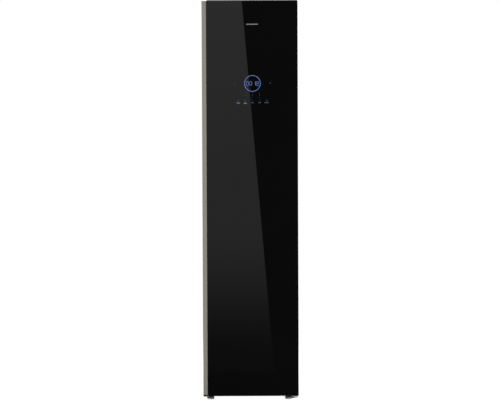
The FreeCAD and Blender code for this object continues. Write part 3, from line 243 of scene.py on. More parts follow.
FINISHES = {
    "black_glass": surface("black_glass", BLACK_GLASS, 0.012, drift=0.08, drift_size=0.5,
                           grain=0.08, relief=0, gloss_change=0.006, IOR=1.5),
    "champagne_aluminium": surface("champagne_aluminium", CHAMPAGNE, 0.45, 0.12, drift=0.03,
                                   grain=0.0006, stretch=(1, 1, 60), relief=0.00001,
                                   Specular_IOR_Level=0.3),
    "black_plastic": surface("black_plastic", BLACK_PLASTIC, 0.42),
    "grey_plastic": surface("grey_plastic", GREY_PLASTIC, 0.40),
    "grey_paint": surface("grey_paint", GREY_PAINT, 0.38, drift=0.03, grain=0.0025,
                          relief=0.00005),
    "galvanised": surface("galvanised", ZINC, 0.46, 0.5, drift=0.06, drift_size=0.012,
                          grain=0.006),
    "liner_plastic": surface("liner_plastic", LINER, 0.28, drift=0.02, grain=0.003,
                             relief=0.00002),
    "foam": surface("foam", FOAM, 0.85, drift=0.15, drift_size=0.05, grain=0.002, relief=0.0002),
    "grey_rubber": surface("grey_rubber", SEAL_GREY, 0.62, grain=0.001),
    "dark_rubber": surface("dark_rubber", BLACK_PLASTIC, 0.70, grain=0.001),
    "zinc_steel": surface("zinc_steel", STEEL, 0.34, 1.0, drift=0.06, grain=0.0015),
    "copper": surface("copper", COPPER, 0.30, 1.0, drift=0.12, drift_size=0.04),
    "coil_aluminium": surface("coil_aluminium", FIN_METAL, 0.38, 1.0, drift=0.06),
    "black_enamel": surface("black_enamel", BLACK_PLASTIC, 0.22, grain=0.003),
    "tank_plastic": surface("tank_plastic", SMOKED, 0.12, drift=0.02, relief=0.00001,
                            Transmission_Weight=0.75, IOR=1.45),
    "tank_lid_plastic": surface("tank_lid_plastic", DARK_PLASTIC, 0.36),
    "hanger_plastic": surface("hanger_plastic", DARK_PLASTIC, 0.34),
    "rail_metal": surface("rail_metal", STEEL, 0.22, 1.0, drift=0.03, grain=0.001,
                          stretch=(40, 1, 1)),
    "circuit_green": surface("circuit_green", BOARD_GREEN, 0.35, drift=0.3, drift_size=0.004),
    "milky_plastic": surface("milky_plastic", MILKY, 0.30, drift=0.02),
    "nylon": surface("nylon", NYLON, 0.45),
}
HINGE_FINISH = surface("hinge_zinc", ZINC, 0.42, 0.3, grain=0.001)
HINGE_LIP_FINISH = surface("hinge_lip", HINGE_GREY, 0.45, 0.2, grain=0.001)
CAP_FINISH = surface("end_cap", BLACK_GLASS, 0.6, grain=0.0008, Specular_IOR_Level=0.15)
GRIP_FINISH = surface("foot_grip", FOOT_BLACK, 0.16, grain=0.0008)
SOLE_FINISH = surface("foot_sole", SOLE_PALE, 0.55, grain=0.0008)
TRIM_FINISH = surface("trim_silver", TRIM_SILVER, 0.35, 0.2, grain=0.0005)
FOOT_FINISH = two_tone("foot_rubber", SOLE_GREY, DARK_PLASTIC, SOLE_TOP, 0.55)

SPECIAL_FINISH = {"rear_feet": FOOT_FINISH, "upper_hinge": HINGE_FINISH,
                  "lower_hinge": HINGE_FINISH, "handle_end_caps": CAP_FINISH}

# widths in millimetres of the edge rounding that catches the light on bare CAD solids, by node
EDGES = {
    "side_panel_left": 0.5, "side_panel_right": 0.5, "top_cover": 1.2, "door_top_cap": 0.8,
    "hinge_cover": 0.25, "handle_end_caps": 0.3, "lower_front_panel": 0.8, "tank_bay": 0.6,
    "cabin_floor": 0.4, "cabin_lamp": 1.5, "supply_tank_lid": 1.0, "drain_tank_lid": 1.0,
    "lint_filter": 0.8, "lower_hinge": 0.4, "upper_hinge": 0.4, "service_cover": 0.3,
    "power_inlet": 0.5, "door_frame": 0.8, "rail_guide": 0.6, "base_pan": 0.3,
    "control_box": 1.5, "water_pumps": 1.0, "filter_housing": 0.8,
}
WELD_GAP = 0.01 * MM
BEVEL_SEGMENTS = 2
BEVEL_ANGLE = math.radians(40)


def dress_node(name):
    """Gives a CAD solid the finish of its slot, and softened edges where it shows."""
    solid = NODES[name]
    finish = SPECIAL_FINISH.get(name, FINISHES[SLOT_OF[name]])
    if not solid.material_slots:
        solid.data.materials.append(finish)
    for holder in solid.material_slots:
        holder.material = finish
    if name in EDGES:
        weld = solid.modifiers.new("weld", "WELD")
        weld.merge_threshold = WELD_GAP
        bevel = solid.modifiers.new("soften", "BEVEL")
        bevel.width = EDGES[name] * MM
        bevel.segments = BEVEL_SEGMENTS
        bevel.limit_method = "ANGLE"
        bevel.angle_limit = BEVEL_ANGLE
        bevel.harden_normals = True


# ---------------------------------------------------------------- mesh building

def add_object(name, data):
    made = bpy.data.objects.new(name, data)
    bpy.context.scene.collection.objects.link(made)
    return made


def finish_piece(name, mesh, material, body, replaced=(), crease=35):
    """Turns a bmesh into a piece that rides on a body and wears the finish it is given."""
    bmesh.ops.recalc_face_normals(mesh, faces=mesh.faces)
    data = bpy.data.meshes.new(name)
    mesh.to_mesh(data)
    mesh.free()
    data.shade_smooth()
    data.set_sharp_from_angle(angle=math.radians(crease))
    made = add_object(name, data)
    made.data.materials.append(material)
    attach(made, body)
    if replaced:
        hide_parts(*replaced)


def soften(mesh, width, angle=30):
    """Rounds every edge of a bmesh that turns by more than the angle."""
    sharp = [edge for edge in mesh.edges if len(edge.link_faces) == 2
             and edge.calc_face_angle(0) > math.radians(angle)]
    bmesh.ops.bevel(mesh, geom=sharp, offset=width, segments=2, affect="EDGES", profile=0.5)


def join_rings(mesh, here, there, count=None):
    """Adds the quads between two rings of points, all around or only the first ones."""
    for step in range(count or len(here)):
        following = (step + 1) % len(here)
        mesh.faces.new((here[step], here[following], there[following], there[step]))


def add_prism(mesh, outline, axis, low, high):
    """Adds a closed prism; outline points are in the two other coordinates, in x, y, z order."""
    def corner(point, level):
        spot = list(point)
        spot.insert("xyz".index(axis), level)
        return Vector(spot)

    ends = [[mesh.verts.new(corner(point, level)) for point in outline] for level in (low, high)]
    mesh.faces.new(ends[0])
    mesh.faces.new(ends[1])
    join_rings(mesh, *ends)


def rounded_outline(width, height, radius, centre=(0, 0), steps=5):
    """Points of a rounded rectangle; one radius, or one per corner from the upper right on."""
    points = []
    radii = radius if isinstance(radius, tuple) else (radius,) * 4
    for quarter, (across, up) in enumerate(((1, 1), (-1, 1), (-1, -1), (1, -1))):
        round_by = radii[quarter]
        middle = Vector((centre[0] + across * (width / 2 - round_by),
                         centre[1] + up * (height / 2 - round_by)))
        for step in range(steps + 1):
            angle = math.radians(90 * (quarter + step / steps))
            points.append(tuple(middle + Vector((math.cos(angle), math.sin(angle))) * round_by))
    return points


def add_band(mesh, centre, radii, width, levels, steps, span):
    """Adds a flat ring that faces -Y, or the part of it over a span of shares of a turn."""
    low, high = levels
    whole = span == (0, 1)
    rings = []
    for inset, level in ((0, low), (0, high), (width, high), (width, low)):
        ring = []
        for step in range(steps if whole else steps + 1):
            angle = 2 * math.pi * (span[0] + (span[1] - span[0]) * step / steps)
            x = centre[0] + (radii[0] - inset) * math.cos(angle)
            z = centre[1] + (radii[1] - inset) * math.sin(angle)
            ring.append(mesh.verts.new((x, level, z)))
        rings.append(ring)
    for here, there in zip(rings, rings[1:] + rings[:1]):
        join_rings(mesh, here, there, steps)
    if not whole:
        for end in (0, -1):
            mesh.faces.new([ring[end] for ring in rings])


def add_lathe(mesh, profile, centre, steps, scallops=0, depth=0, grip=()):
    """Adds a solid turned about a vertical axis; the profile rows in grip are scalloped."""
    rings = []
    for row, (radius, height) in enumerate(profile):
        ring = []
        for step in range(steps):
            angle = 2 * math.pi * step / steps
            bite = depth * (0.5 - 0.5 * math.cos(angle * scallops)) if row in grip else 0
            reach = radius - bite
            x = centre[0] + reach * math.cos(angle)
            y = centre[1] + reach * math.sin(angle)
            ring.append(mesh.verts.new((x, y, height)))
        rings.append(ring)
    for here, there in zip(rings, rings[1:]):
        join_rings(mesh, here, there)
    mesh.faces.new(rings[0])
    mesh.faces.new(rings[-1])


# ---------------------------------------------------------------- door front

GLASS_LOW, GLASS_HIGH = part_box("door_glass")
GUIDE_LOW, GUIDE_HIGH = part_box("display_light_guide")
PRINT_DEPTH = 0.15 * MM
PANE_FRONT = GLASS_LOW.y + PRINT_DEPTH * 2
PRINT_LEVELS = (PANE_FRONT - PRINT_DEPTH, PANE_FRONT + PRINT_DEPTH)
PANE_CORNERS = (2 * MM, 2 * MM, 4 * MM, 2 * MM)
PANE_EDGE = 0.3 * MM
# the middle of the signs lies a little beside the middle of the light guide
DISPLAY_CENTRE = ((GUIDE_LOW.x + GUIDE_HIGH.x) / 2 + 2.4 * MM,
                  (GUIDE_LOW.z + GUIDE_HIGH.z) / 2 - 3.1 * MM)

# Signs are given in millimetres from the middle of the display.
RING_STROKE = 1.6
DIGIT_STROKE = 1.05
ICON_STROKE = 1.5
ARC_STROKE = 2.4
# corner radius of a bar as a share of its width, just short of a half
BAR_ROUNDING = 0.49
# upright marks between the ring and the programme signs: x, z and height
DIM_MARKS = (
    (-34.1, -41.5, 0.6), (-34.1, -52.3, 2.6), (-22, -41.6, 1.4), (-22, -53.1, 1.8),
    (-22, -63.8, 1.2), (-1, -41.6, 1), (-1, -52.4, 6), (-1, -63.7, 1.4), (31.7, -63.6, 1),
)
DIM_MARK_WIDTH = 3.2
LIT_MARKS = ((31.7, -41.4, 2.4), (31.7, -53.8, 4.4))
LIT_MARK_WIDTH = 2.2
# filled icons by their corners
DIM_ICONS = (((-65.9, -72.6), (-61.2, -78), (-65.9, -83.4), (-70.6, -78)),
             ((-36.4, -73.6), (-31.4, -73.6), (-31.4, -82), (-36.4, -82)))
LIT_ICONS = (((65.6, -73.4), (68.6, -78.4), (65.4, -82.4), (62.6, -78.4)),
             ((77.4, 4.2), (83.4, 4.2), (83.6, -1.2), (78.6, -0.6)))
# bright captions: x, z, width at the foot, width at the top and height
BRIGHT_CAPTIONS = ((-66.4, -87.2, 18.4, 18.4, 1.2), (-65.8, -91.3, 7, 12, 2.8),
                   (-34.4, -87.4, 9.2, 9.2, 1.4), (-34, -91.5, 15.6, 13, 2.8))
# grey captions: x and width, all at one height
GREY_CAPTIONS = ((-1, 10.4), (32.2, 12.4), (64, 20.8))
GREY_CAPTION_Z = -87.8
GREY_CAPTION_HEIGHT = 4.4
TRIM_BAR = {"width": 54, "height": 5, "radius": 1.2, "centre": (-1.4, 271.2)}


def make_pane():
    mesh = bmesh.new()
    width = GLASS_HIGH.x - GLASS_LOW.x
    height = GLASS_HIGH.z - GLASS_LOW.z
    centre = ((GLASS_LOW.x + GLASS_HIGH.x) / 2, (GLASS_LOW.z + GLASS_HIGH.z) / 2)
    outline = rounded_outline(width, height, PANE_CORNERS, centre)
    add_prism(mesh, outline, "y", PANE_FRONT, GLASS_HIGH.y)
    soften(mesh, PANE_EDGE, angle=60)
    finish_piece("glass_pane", mesh, FINISHES["black_glass"], "door",
                 ("door_glass",))


def beside(x, z):
    """A place on the glass, given in millimetres from the middle of the display."""
    return DISPLAY_CENTRE[0] + x * MM, DISPLAY_CENTRE[1] + z * MM


def add_ring(mesh, x, z, radii, stroke, steps=48, span=(0, 1)):
    """Adds a round or oval ring, all in millimetres."""
    reach = [radius * MM for radius in radii]
    add_band(mesh, beside(x, z), reach, stroke * MM, PRINT_LEVELS, steps, span)


def add_shape(mesh, points):
    """Adds a flat filled sign from its corners, in millimetres."""
    add_prism(mesh, [beside(*point) for point in points], "y", *PRINT_LEVELS)


def add_line(mesh, start, end, width):
    """Adds a bar with round ends between two points, all in millimetres."""
    start, end, width = Vector(start) * MM, Vector(end) * MM, width * MM
    along = end - start
    turn = math.atan2(along.y, along.x)
    middle = (start + end) / 2 + Vector(DISPLAY_CENTRE)
    outline = []
    for x, z in rounded_outline(along.length + width, width, width * BAR_ROUNDING, steps=4):
        spin = Vector((x * math.cos(turn) - z * math.sin(turn),
                       x * math.sin(turn) + z * math.cos(turn)))
        outline.append(tuple(spin + middle))
    add_prism(mesh, outline, "y", *PRINT_LEVELS)


def add_marks(mesh, marks, width):
    """Adds upright marks with round ends, given by x, z and height in millimetres."""
    for x, z, tall in marks:
        add_line(mesh, (x, z - tall / 2), (x, z + tall / 2), width)


def finish_signs(name, mesh, light):
    finish_piece(name, mesh, light, "door")


def make_display():
    """Ring, numbers, icons and captions of the touch display, seen through the glass."""
    bright = glowing("display_light", DISPLAY_BLUE)
    dim = glowing("display_dim_light", DIM_BLUE)
    faint = glowing("display_faint_light", FAINT_BLUE)
    icon = glowing("display_icon_light", ICON_BLUE)
    white = glowing("display_caption_white", LABEL_WHITE)
    grey = glowing("display_caption_grey", LABEL_GREY)

    mesh = bmesh.new()
    add_ring(mesh, -0.4, 0.4, (37.1, 37.1), RING_STROKE, 96)
    finish_signs("display_ring", mesh, bright)

    # two noughts, a one and an eight
    mesh = bmesh.new()
    add_ring(mesh, -23.4, 0, (5.2, 10), DIGIT_STROKE)
    add_ring(mesh, -8.6, 0, (6, 10), DIGIT_STROKE)
    add_line(mesh, (13.3, -8.4), (13.3, 8.6), 1.3)
    add_line(mesh, (11.6, 6.2), (13.3, 8.6), 1.1)
    for z in (-4.7, 4.6):
        add_ring(mesh, 22.6, z, (5.5, 5.4), DIGIT_STROKE, 40)
    finish_signs("display_numbers", mesh, bright)

    mesh = bmesh.new()
    add_ring(mesh, -82.8, 0.3, (6.3, 6.3), ICON_STROKE, 40)
    add_marks(mesh, DIM_MARKS, DIM_MARK_WIDTH)
    add_line(mesh, (-9.5, -20.8), (-9.5, -24.6), 2.8)
    for corners in DIM_ICONS:
        add_shape(mesh, corners)
    finish_signs("display_dim_signs", mesh, dim)

    mesh = bmesh.new()
    add_line(mesh, (-4, -73.4), (2.6, -81.8), 3.4)
    add_ring(mesh, 32, -80.4, (5.6, 5.4), ARC_STROKE, 20, (0, 0.5))
    finish_signs("display_faint_signs", mesh, faint)

    mesh = bmesh.new()
    for corners in LIT_ICONS:
        add_shape(mesh, corners)
    add_marks(mesh, LIT_MARKS, LIT_MARK_WIDTH)
    finish_signs("display_lit_signs", mesh, icon)

    mesh = bmesh.new()
    for x, z, foot, top, tall in BRIGHT_CAPTIONS:
        low, high = z - tall / 2, z + tall / 2
        add_shape(mesh, [(x - foot / 2, low), (x + foot / 2, low),
                         (x + top / 2, high), (x - top / 2, high)])
    finish_signs("display_bright_captions", mesh, white)

    mesh = bmesh.new()
    for x, width in GREY_CAPTIONS:
        reach = width / 2 - GREY_CAPTION_HEIGHT / 2
        add_line(mesh, (x - reach, GREY_CAPTION_Z), (x + reach, GREY_CAPTION_Z),
                 GREY_CAPTION_HEIGHT)
    finish_signs("display_captions", mesh, grey)


def make_trim_bar():
    """Plain slim metal bar set into the upper part of the glass."""
    mesh = bmesh.new()
    add_shape(mesh, rounded_outline(**TRIM_BAR))
    finish_piece("glass_trim_bar", mesh, TRIM_FINISH, "door")


# ---------------------------------------------------------------- feet and lower hinge

# profile rows in millimetres: how far they stay inside the grip ring, and their height
SOLE_ROWS = ((3.5, 0), (2.1, 0.5), (1.5, 2), (1.5, 5.4), (2.2, 6))
GRIP_ROWS = ((1, 6), (0, 7), (0, 11), (1, 12), (5, 14))
COLLAR_INSET = 5
COLLAR_EDGE = 0.6
SOLE_STEPS = 64
GRIP_STEPS = 144
SCALLOPS = 18
SCALLOP_DEPTH = 0.9 * MM
SCALLOPED_ROWS = (0, 1, 2, 3)

# corners of the glide in millimetres: inwards from the cap's sides, and up from its foot
GLIDE_CORNERS = ((1, 0.2), (2, -1.6))
GLIDE_FRONT = 0.4 * MM
GLIDE_BACK = 2 * MM
GLIDE_EDGE = 0.3 * MM

LIP_SIDE = 0.4 * MM
# lip corners in millimetres: from its left or right side, and up from the hinge's foot
LIP_LEFT = ((0, 4), (0, 0), (9, 0), (12, -6))
LIP_RIGHT = ((-2, -6), (0, -4.4), (0, 4))
LIP_REACH = (2 * MM, 0.4 * MM)
LIP_EDGE = 0.4 * MM
# rows of the hexagon nut in millimetres: radius to its corners, and up from the hinge's foot
NUT_ROWS = ((6.4, -7.2), (7.4, -6.4), (7.4, 0.2))
NUT_PLACE = (5.4 * MM, 8 * MM)
NUT_SIDES = 6


def make_foot(side):
    """Front foot: a pale sole under a dark grip ring with finger scallops."""
    node = f"foot_pad_{side}"
    low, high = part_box(node)
    centre = ((low.x + high.x) / 2, (low.y + high.y) / 2)
    ring = (high.x - low.x) / 2
    sole = [(ring - inset * MM, height * MM) for inset, height in SOLE_ROWS]
    mesh = bmesh.new()
    add_lathe(mesh, sole, centre, SOLE_STEPS)
    finish_piece(f"foot_sole_{side}", mesh, SOLE_FINISH, f"{side}_foot", (node,))
    grip = [(ring - inset * MM, height * MM) for inset, height in GRIP_ROWS]
    grip.append((ring - COLLAR_INSET * MM, high.z - COLLAR_EDGE * MM))
    grip.append((ring - (COLLAR_INSET + COLLAR_EDGE) * MM, high.z))
    mesh = bmesh.new()
    add_lathe(mesh, grip, centre, GRIP_STEPS, SCALLOPS, SCALLOP_DEPTH, SCALLOPED_ROWS)
    finish_piece(f"foot_grip_{side}", mesh, GRIP_FINISH, f"{side}_foot")


def make_cap_glide():
    """Black glide under the edge strip's end cap."""
    low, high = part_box("handle_end_caps")
    left = [(low.x + inset * MM, low.z + up * MM) for inset, up in GLIDE_CORNERS]
    right = [(high.x - inset * MM, low.z + up * MM) for inset, up in reversed(GLIDE_CORNERS)]
    mesh = bmesh.new()
    add_prism(mesh, left + right, "y", low.y + GLIDE_FRONT, high.y - GLIDE_BACK)
    soften(mesh, GLIDE_EDGE)
    finish_piece("edge_cap_glide", mesh, CAP_FINISH, "door")


def make_hinge_lip():
    """The lower hinge's folded lip, stepped in its front view, and its lock nut."""
    low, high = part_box("lower_hinge")
    left, right = low.x + LIP_SIDE, high.x - LIP_SIDE
    lip = [(left + across * MM, low.z + up * MM) for across, up in LIP_LEFT]
    lip += [(right + across * MM, low.z + up * MM) for across, up in LIP_RIGHT]
    mesh = bmesh.new()
    add_prism(mesh, lip, "y", low.y - LIP_REACH[0], low.y + LIP_REACH[1])
    soften(mesh, LIP_EDGE)
    finish_piece("hinge_lip", mesh, HINGE_LIP_FINISH, "cabinet")
    nut = [(radius * MM, low.z + up * MM) for radius, up in NUT_ROWS]
    mesh = bmesh.new()
    add_lathe(mesh, nut, (low.x + NUT_PLACE[0], low.y + NUT_PLACE[1]), NUT_SIDES)
    finish_piece("hinge_lock_nut", mesh, GRIP_FINISH, "cabinet")


# ---------------------------------------------------------------- screws and mains inlet

SCREW_STEPS = 32
SCREW_RADIUS = 4 * MM
# rows of the domed head as shares of its radius and of its height
SCREW_ROWS = ((1, 0), (1, 0.45), (0.82, 0.85), (0.62, 1))
CROSS_ARM = SCREW_RADIUS * 0.46
CROSS_HALF_WIDTH = SCREW_RADIUS * 0.13
CROSS_FLOOR = 0.1 * MM

# middles of the contacts in millimetres from the middle of the inlet
PIN_PLACES = ((-7, -2), (7, -2), (0, 3))
PIN_SIZE = (2 * MM, 4 * MM)
PIN_CORNER = 0.5 * MM
PIN_EDGE = 0.3 * MM
PIN_SPAN = (2 * MM, 18 * MM)


def add_screw_head(mesh, x, z, base, top):
    """Adds a domed head that faces +Y, with a cross recess."""
    rings = []
    for radius_share, height_share in SCREW_ROWS:
        reach, level = SCREW_RADIUS * radius_share, base + (top - base) * height_share
        ring = []
        for step in range(SCREW_STEPS):
            angle = 2 * math.pi * step / SCREW_STEPS
            place = (x + reach * math.cos(angle), level, z + reach * math.sin(angle))
            ring.append(mesh.verts.new(place))
        rings.append(ring)
    for here, there in zip(rings, rings[1:]):
        join_rings(mesh, here, there)
    mesh.faces.new(rings[0])
    arm, thin = CROSS_ARM, CROSS_HALF_WIDTH
    cross = [(arm, thin), (thin, thin), (thin, arm), (-thin, arm), (-thin, thin), (-arm, thin),
             (-arm, -thin), (-thin, -thin), (-thin, -arm), (thin, -arm), (thin, -thin),
             (arm, -thin)]
    mouth = [mesh.verts.new((x + across, top, z + up)) for across, up in cross]
    floor = [mesh.verts.new((x + across, base + CROSS_FLOOR, z + up)) for across, up in cross]
    edges = []
    for loop in (rings[-1], mouth):
        for here, there in zip(loop, loop[1:] + loop[:1]):
            edges.append(mesh.edges.get((here, there)) or mesh.edges.new((here, there)))
    bmesh.ops.triangle_fill(mesh, use_beauty=True, edges=edges)
    join_rings(mesh, mouth, floor)
    mesh.faces.new(floor)


def screw_places():
    """Middles of the screws in a fixed order, from the loose parts of their node."""
    solid = NODES["panel_screws"]
    mesh = bmesh.new()
    mesh.from_mesh(solid.data)
    mesh.transform(solid.matrix_world)
    bmesh.ops.remove_doubles(mesh, verts=mesh.verts, dist=WELD_GAP)
    left = set(mesh.verts)
    places = []
    while left:
        part = {left.pop()}
        edge = set(part)
        while edge:
            edge = {other.other_vert(vert) for vert in edge for other in vert.link_edges} & left
            part |= edge
            left -= edge
        xs = [vert.co.x for vert in part]
        zs = [vert.co.z for vert in part]
        places.append(((min(xs) + max(xs)) / 2, (min(zs) + max(zs)) / 2))
    mesh.free()
    return sorted(places)


def make_screws():
    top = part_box("panel_screws")[1].y
    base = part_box("back_panel")[1].y
    mesh = bmesh.new()
    for x, z in screw_places():
        add_screw_head(mesh, x, z, base, top)
    finish_piece("panel_screw_heads", mesh, FINISHES["zinc_steel"], "cabinet",
                 ("panel_screws",))


def make_inlet_pins():
    """Three flat contacts inside the mains inlet."""
    low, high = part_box("power_inlet")
    middle = (low + high) / 2
    mesh = bmesh.new()
    for x, z in PIN_PLACES:
        centre = (middle.x + x * MM, middle.z + z * MM)
        outline = rounded_outline(*PIN_SIZE, PIN_CORNER, centre, 2)
        add_prism(mesh, outline, "y", low.y + PIN_SPAN[0], low.y + PIN_SPAN[1])
    soften(mesh, PIN_EDGE, angle=60)
    finish_piece("inlet_pins", mesh, FINISHES["zinc_steel"], "cabinet")


# ---------------------------------------------------------------- inside of the door

SEAL_WIDTH = 10 * MM
# outline of the seal as shares of its width, outwards, and of its depth
SEAL_SECTION = (
    (0, 0), (1, 0), (1, 0.2), (0.75, 0.28), (0.68, 0.42), (0.86, 0.56), (0.9, 0.72), (0.9, 0.9),
    (0.8, 1), (0.2, 1), (0.1, 0.9), (0.1, 0.72), (0.14, 0.56), (0.32, 0.42), (0.25, 0.28), (0, 0.2),
)
LINER_CORNER = 6 * MM
LINER_EDGE = 0.9 * MM
FIELD_MARGIN = 22 * MM
FIELD_RISE = 2.4 * MM
FIELD_SLOPE = FIELD_RISE * 2
FIELD_ROOT = 1 * MM
FIELD_EDGE = 1.2 * MM


def make_gasket():
    """Magnetic seal: a foot, a narrow bellows and a rounded magnet tube, mitred at the corners."""
    low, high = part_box("door_gasket")
    depth = high.y - low.y
    mesh = bmesh.new()
    corners = ((high.x, high.z, 1, 1), (low.x, high.z, -1, 1),
               (low.x, low.z, -1, -1), (high.x, low.z, 1, -1))
    rings = []
    for x, z, across, up in corners:
        ring = []
        for out, back in SEAL_SECTION:
            inset = (1 - out) * SEAL_WIDTH
            place = (x - across * inset, low.y + back * depth, z - up * inset)
            ring.append(mesh.verts.new(place))
        rings.append(ring)
    for here, there in zip(rings, rings[1:] + rings[:1]):
        join_rings(mesh, here, there)
    finish_piece("door_seal", mesh, FINISHES["grey_rubber"], "door",
                 ("door_gasket",))


def add_frustum(mesh, foot, top, low, high):
    """Adds a closed block along Y whose far face is smaller than its foot and rounded."""
    near = [mesh.verts.new((x, low, z)) for x, z in foot]
    far = [mesh.verts.new((x, high, z)) for x, z in top]
    mesh.faces.new(near)
    face = mesh.faces.new(far)
    join_rings(mesh, near, far)
    bmesh.ops.bevel(mesh, geom=list(face.edges), offset=FIELD_EDGE, segments=3, affect="EDGES",
                    profile=0.5)


def make_door_liner():
    """Moulded inner skin of the door, with a raised field inside the seal."""
    low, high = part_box("door_inner_panel")
    seal_low, seal_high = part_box("door_gasket")
    size = high - low
    middle = (low + high) / 2
    mesh = bmesh.new()
    outline = rounded_outline(size.x, size.z, LINER_CORNER, (middle.x, middle.z))
    add_prism(mesh, outline, "y", low.y, high.y)
    soften(mesh, LINER_EDGE, angle=60)

    def field(inset):
        left, right = seal_low.x + inset, seal_high.x - inset
        foot, head = seal_low.z + inset, seal_high.z - inset
        return [(left, foot), (right, foot), (right, head), (left, head)]

    add_frustum(mesh, field(FIELD_MARGIN), field(FIELD_MARGIN + FIELD_SLOPE),
                high.y - FIELD_ROOT, high.y + FIELD_RISE)
    finish_piece("door_liner", mesh, FINISHES["liner_plastic"], "door",
                 ("door_inner_panel",))


# ---------------------------------------------------------------- cabin

FLUTE_PITCH = 22 * MM
FLUTE_START = FLUTE_PITCH * 0.2
FLUTE_WIDTH = FLUTE_PITCH * 0.6
FLUTE_DEPTH = 0.9 * MM
FLUTE_STEPS = 6

SCREEN_RIM = 10 * MM
SCREEN_TOP_RIM = SCREEN_RIM * 3
SCREEN_SETBACK = 4 * MM
WIRE = 0.5 * MM
WIRE_PITCH = 4 * MM


def fluted_edge(start, stop, level, inward):
    """Points along a wall's inner face from start to stop, with shallow round flutes in it."""
    points = [(start, level)]
    count = int((stop - start) // FLUTE_PITCH) - 1
    first = (start + stop) / 2 - count * FLUTE_PITCH / 2
    for number in range(count):
        left = first + number * FLUTE_PITCH + FLUTE_START
        for step in range(FLUTE_STEPS + 1):
            share = step / FLUTE_STEPS
            cut = FLUTE_DEPTH * math.sin(math.pi * share)
            points.append((left + FLUTE_WIDTH * share, level - inward * cut))
    points.append((stop, level))
    return points


def make_liner(name, node, outline, low, high):
    mesh = bmesh.new()
    add_prism(mesh, outline, "z", low.z, high.z)
    finish_piece(name, mesh, FINISHES["liner_plastic"], "cabinet", (node,))


def make_side_liner(side):
    node = f"cabin_wall_{side}"
    low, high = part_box(node)
    inner, outer, inward = (high.x, low.x, 1) if side == "left" else (low.x, high.x, -1)
    face = fluted_edge(low.y, high.y, inner, inward)
    outline = [(level, along) for along, level in face] + [(outer, high.y), (outer, low.y)]
    make_liner(f"cabin_liner_{side}", node, outline, low, high)


def make_back_liner():
    node = "cabin_back_wall"
    low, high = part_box(node)
    outline = fluted_edge(low.x, high.x, low.y, -1) + [(high.x, high.y), (low.x, high.y)]
    make_liner("cabin_liner_back", node, outline, low, high)


def wire_places(low, high):
    place = low + WIRE_PITCH
    while place < high:
        yield place
        place += WIRE_PITCH


def make_filter_screens():
    """Fine crossed wires over the two windows of the lint filter."""
    low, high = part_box("lint_filter")
    x_low, x_high = low.x + SCREEN_RIM, high.x - SCREEN_RIM
    z_low, z_high = low.z + SCREEN_RIM, high.z - SCREEN_TOP_RIM
    front, back = low.y + SCREEN_SETBACK, low.y + SCREEN_SETBACK + WIRE
    mesh = bmesh.new()
    for x in wire_places(x_low, x_high):
        section = [(x, front), (x + WIRE, front), (x + WIRE, back), (x, back)]
        add_prism(mesh, section, "z", z_low, z_high)
    for z in wire_places(z_low, z_high):
        section = [(front, z), (back, z), (back, z + WIRE), (front, z + WIRE)]
        add_prism(mesh, section, "x", x_low, x_high)
    finish_piece("filter_screen", mesh, FINISHES["zinc_steel"], "filter")


# ---------------------------------------------------------------- back

SHEET_RIM = 30 * MM
PRESSED_FIELDS = 3
PRESS_DEPTH = 4 * MM
PRESS_SLOPE = 6 * MM
SHEET_CREASE = 8
MIDDLE_DIGITS = 6


def order_faces(mesh):
    """Gives the faces a fixed order, because thickening adds them in another one each run."""
    middles = {face: [round(part, MIDDLE_DIGITS) for part in face.calc_center_median()]
               for face in mesh.faces}
    ranks = {face: rank for rank, face in enumerate(sorted(mesh.faces, key=middles.get))}
    mesh.faces.sort(key=ranks.get)


def make_back_sheet():
    """Upper rear sheet with three fields pressed inwards, which stiffen it."""
    low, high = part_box("back_panel")
    mesh = bmesh.new()
    step = (high.z - low.z - SHEET_RIM) / PRESSED_FIELDS
    levels = [low.z]
    for number in range(PRESSED_FIELDS):
        levels += [low.z + SHEET_RIM + number * step, low.z + (number + 1) * step]
    levels.append(high.z)
    columns = [low.x, low.x + SHEET_RIM, high.x - SHEET_RIM, high.x]
    grid = [[mesh.verts.new((x, high.y, z)) for x in columns] for z in levels]
    pressed = []
    for row, (here, above) in enumerate(zip(grid, grid[1:])):
        for column in range(len(columns) - 1):
            following = column + 1
            made = mesh.faces.new((here[column], here[following],
                                   above[following], above[column]))
            if column == 1 and row % 2 == 1:
                pressed.append(made)
    bmesh.ops.recalc_face_normals(mesh, faces=mesh.faces)
    if mesh.faces[0].normal.y < 0:
        bmesh.ops.reverse_faces(mesh, faces=mesh.faces)
    bmesh.ops.inset_individual(mesh, faces=pressed, thickness=PRESS_SLOPE, depth=-PRESS_DEPTH)
    bmesh.ops.solidify(mesh, geom=mesh.faces[:], thickness=high.y - low.y)
    order_faces(mesh)
    finish_piece("rear_sheet", mesh, FINISHES["galvanised"], "cabinet",
                 ("back_panel",), SHEET_CREASE)


# ---------------------------------------------------------------- camera, lamps and floor

CAMERA_PLACE = Vector((-0.0013, -11.7858, 1.3773))
CAMERA_PITCH = 2.228
CAMERA_ROLL = -0.237
# focal length in pixels of a picture this wide
CAMERA_FOCUS = 2503
PICTURE_WIDTH = 500
SENSOR_WIDTH = 36
CAMERA_REACH = 100

# name, place and power
LAMPS = (("key_lamp", (-3.2, -4.4, 1.1), 150), ("fill_lamp", (3.4, -4.2, 1.1), 110),
         ("left_rear_lamp", (-3.6, 3.6, 2.8), 95), ("right_rear_lamp", (3.6, 3.6, 2.8), 95))
LAMP_SIZE = (2.0, 2.6)
LAMP_AIM = Vector((0, 0, 0.95))

WORLD_WHITE = (1, 1, 1, 1)
# strength of the world as light, and where it is seen
WORLD_LEVELS = (0.5, 1.0)

FLOOR_RADIUS = 3.2
FLOOR_SIDES = 128
FLOOR_COLOUR = (0.62, 0.62, 0.62, 1)
FLOOR_GLOW = 0.86
# distances from the middle where the floor starts and ends to fade out
FLOOR_FADE = (1.2, 3.1)


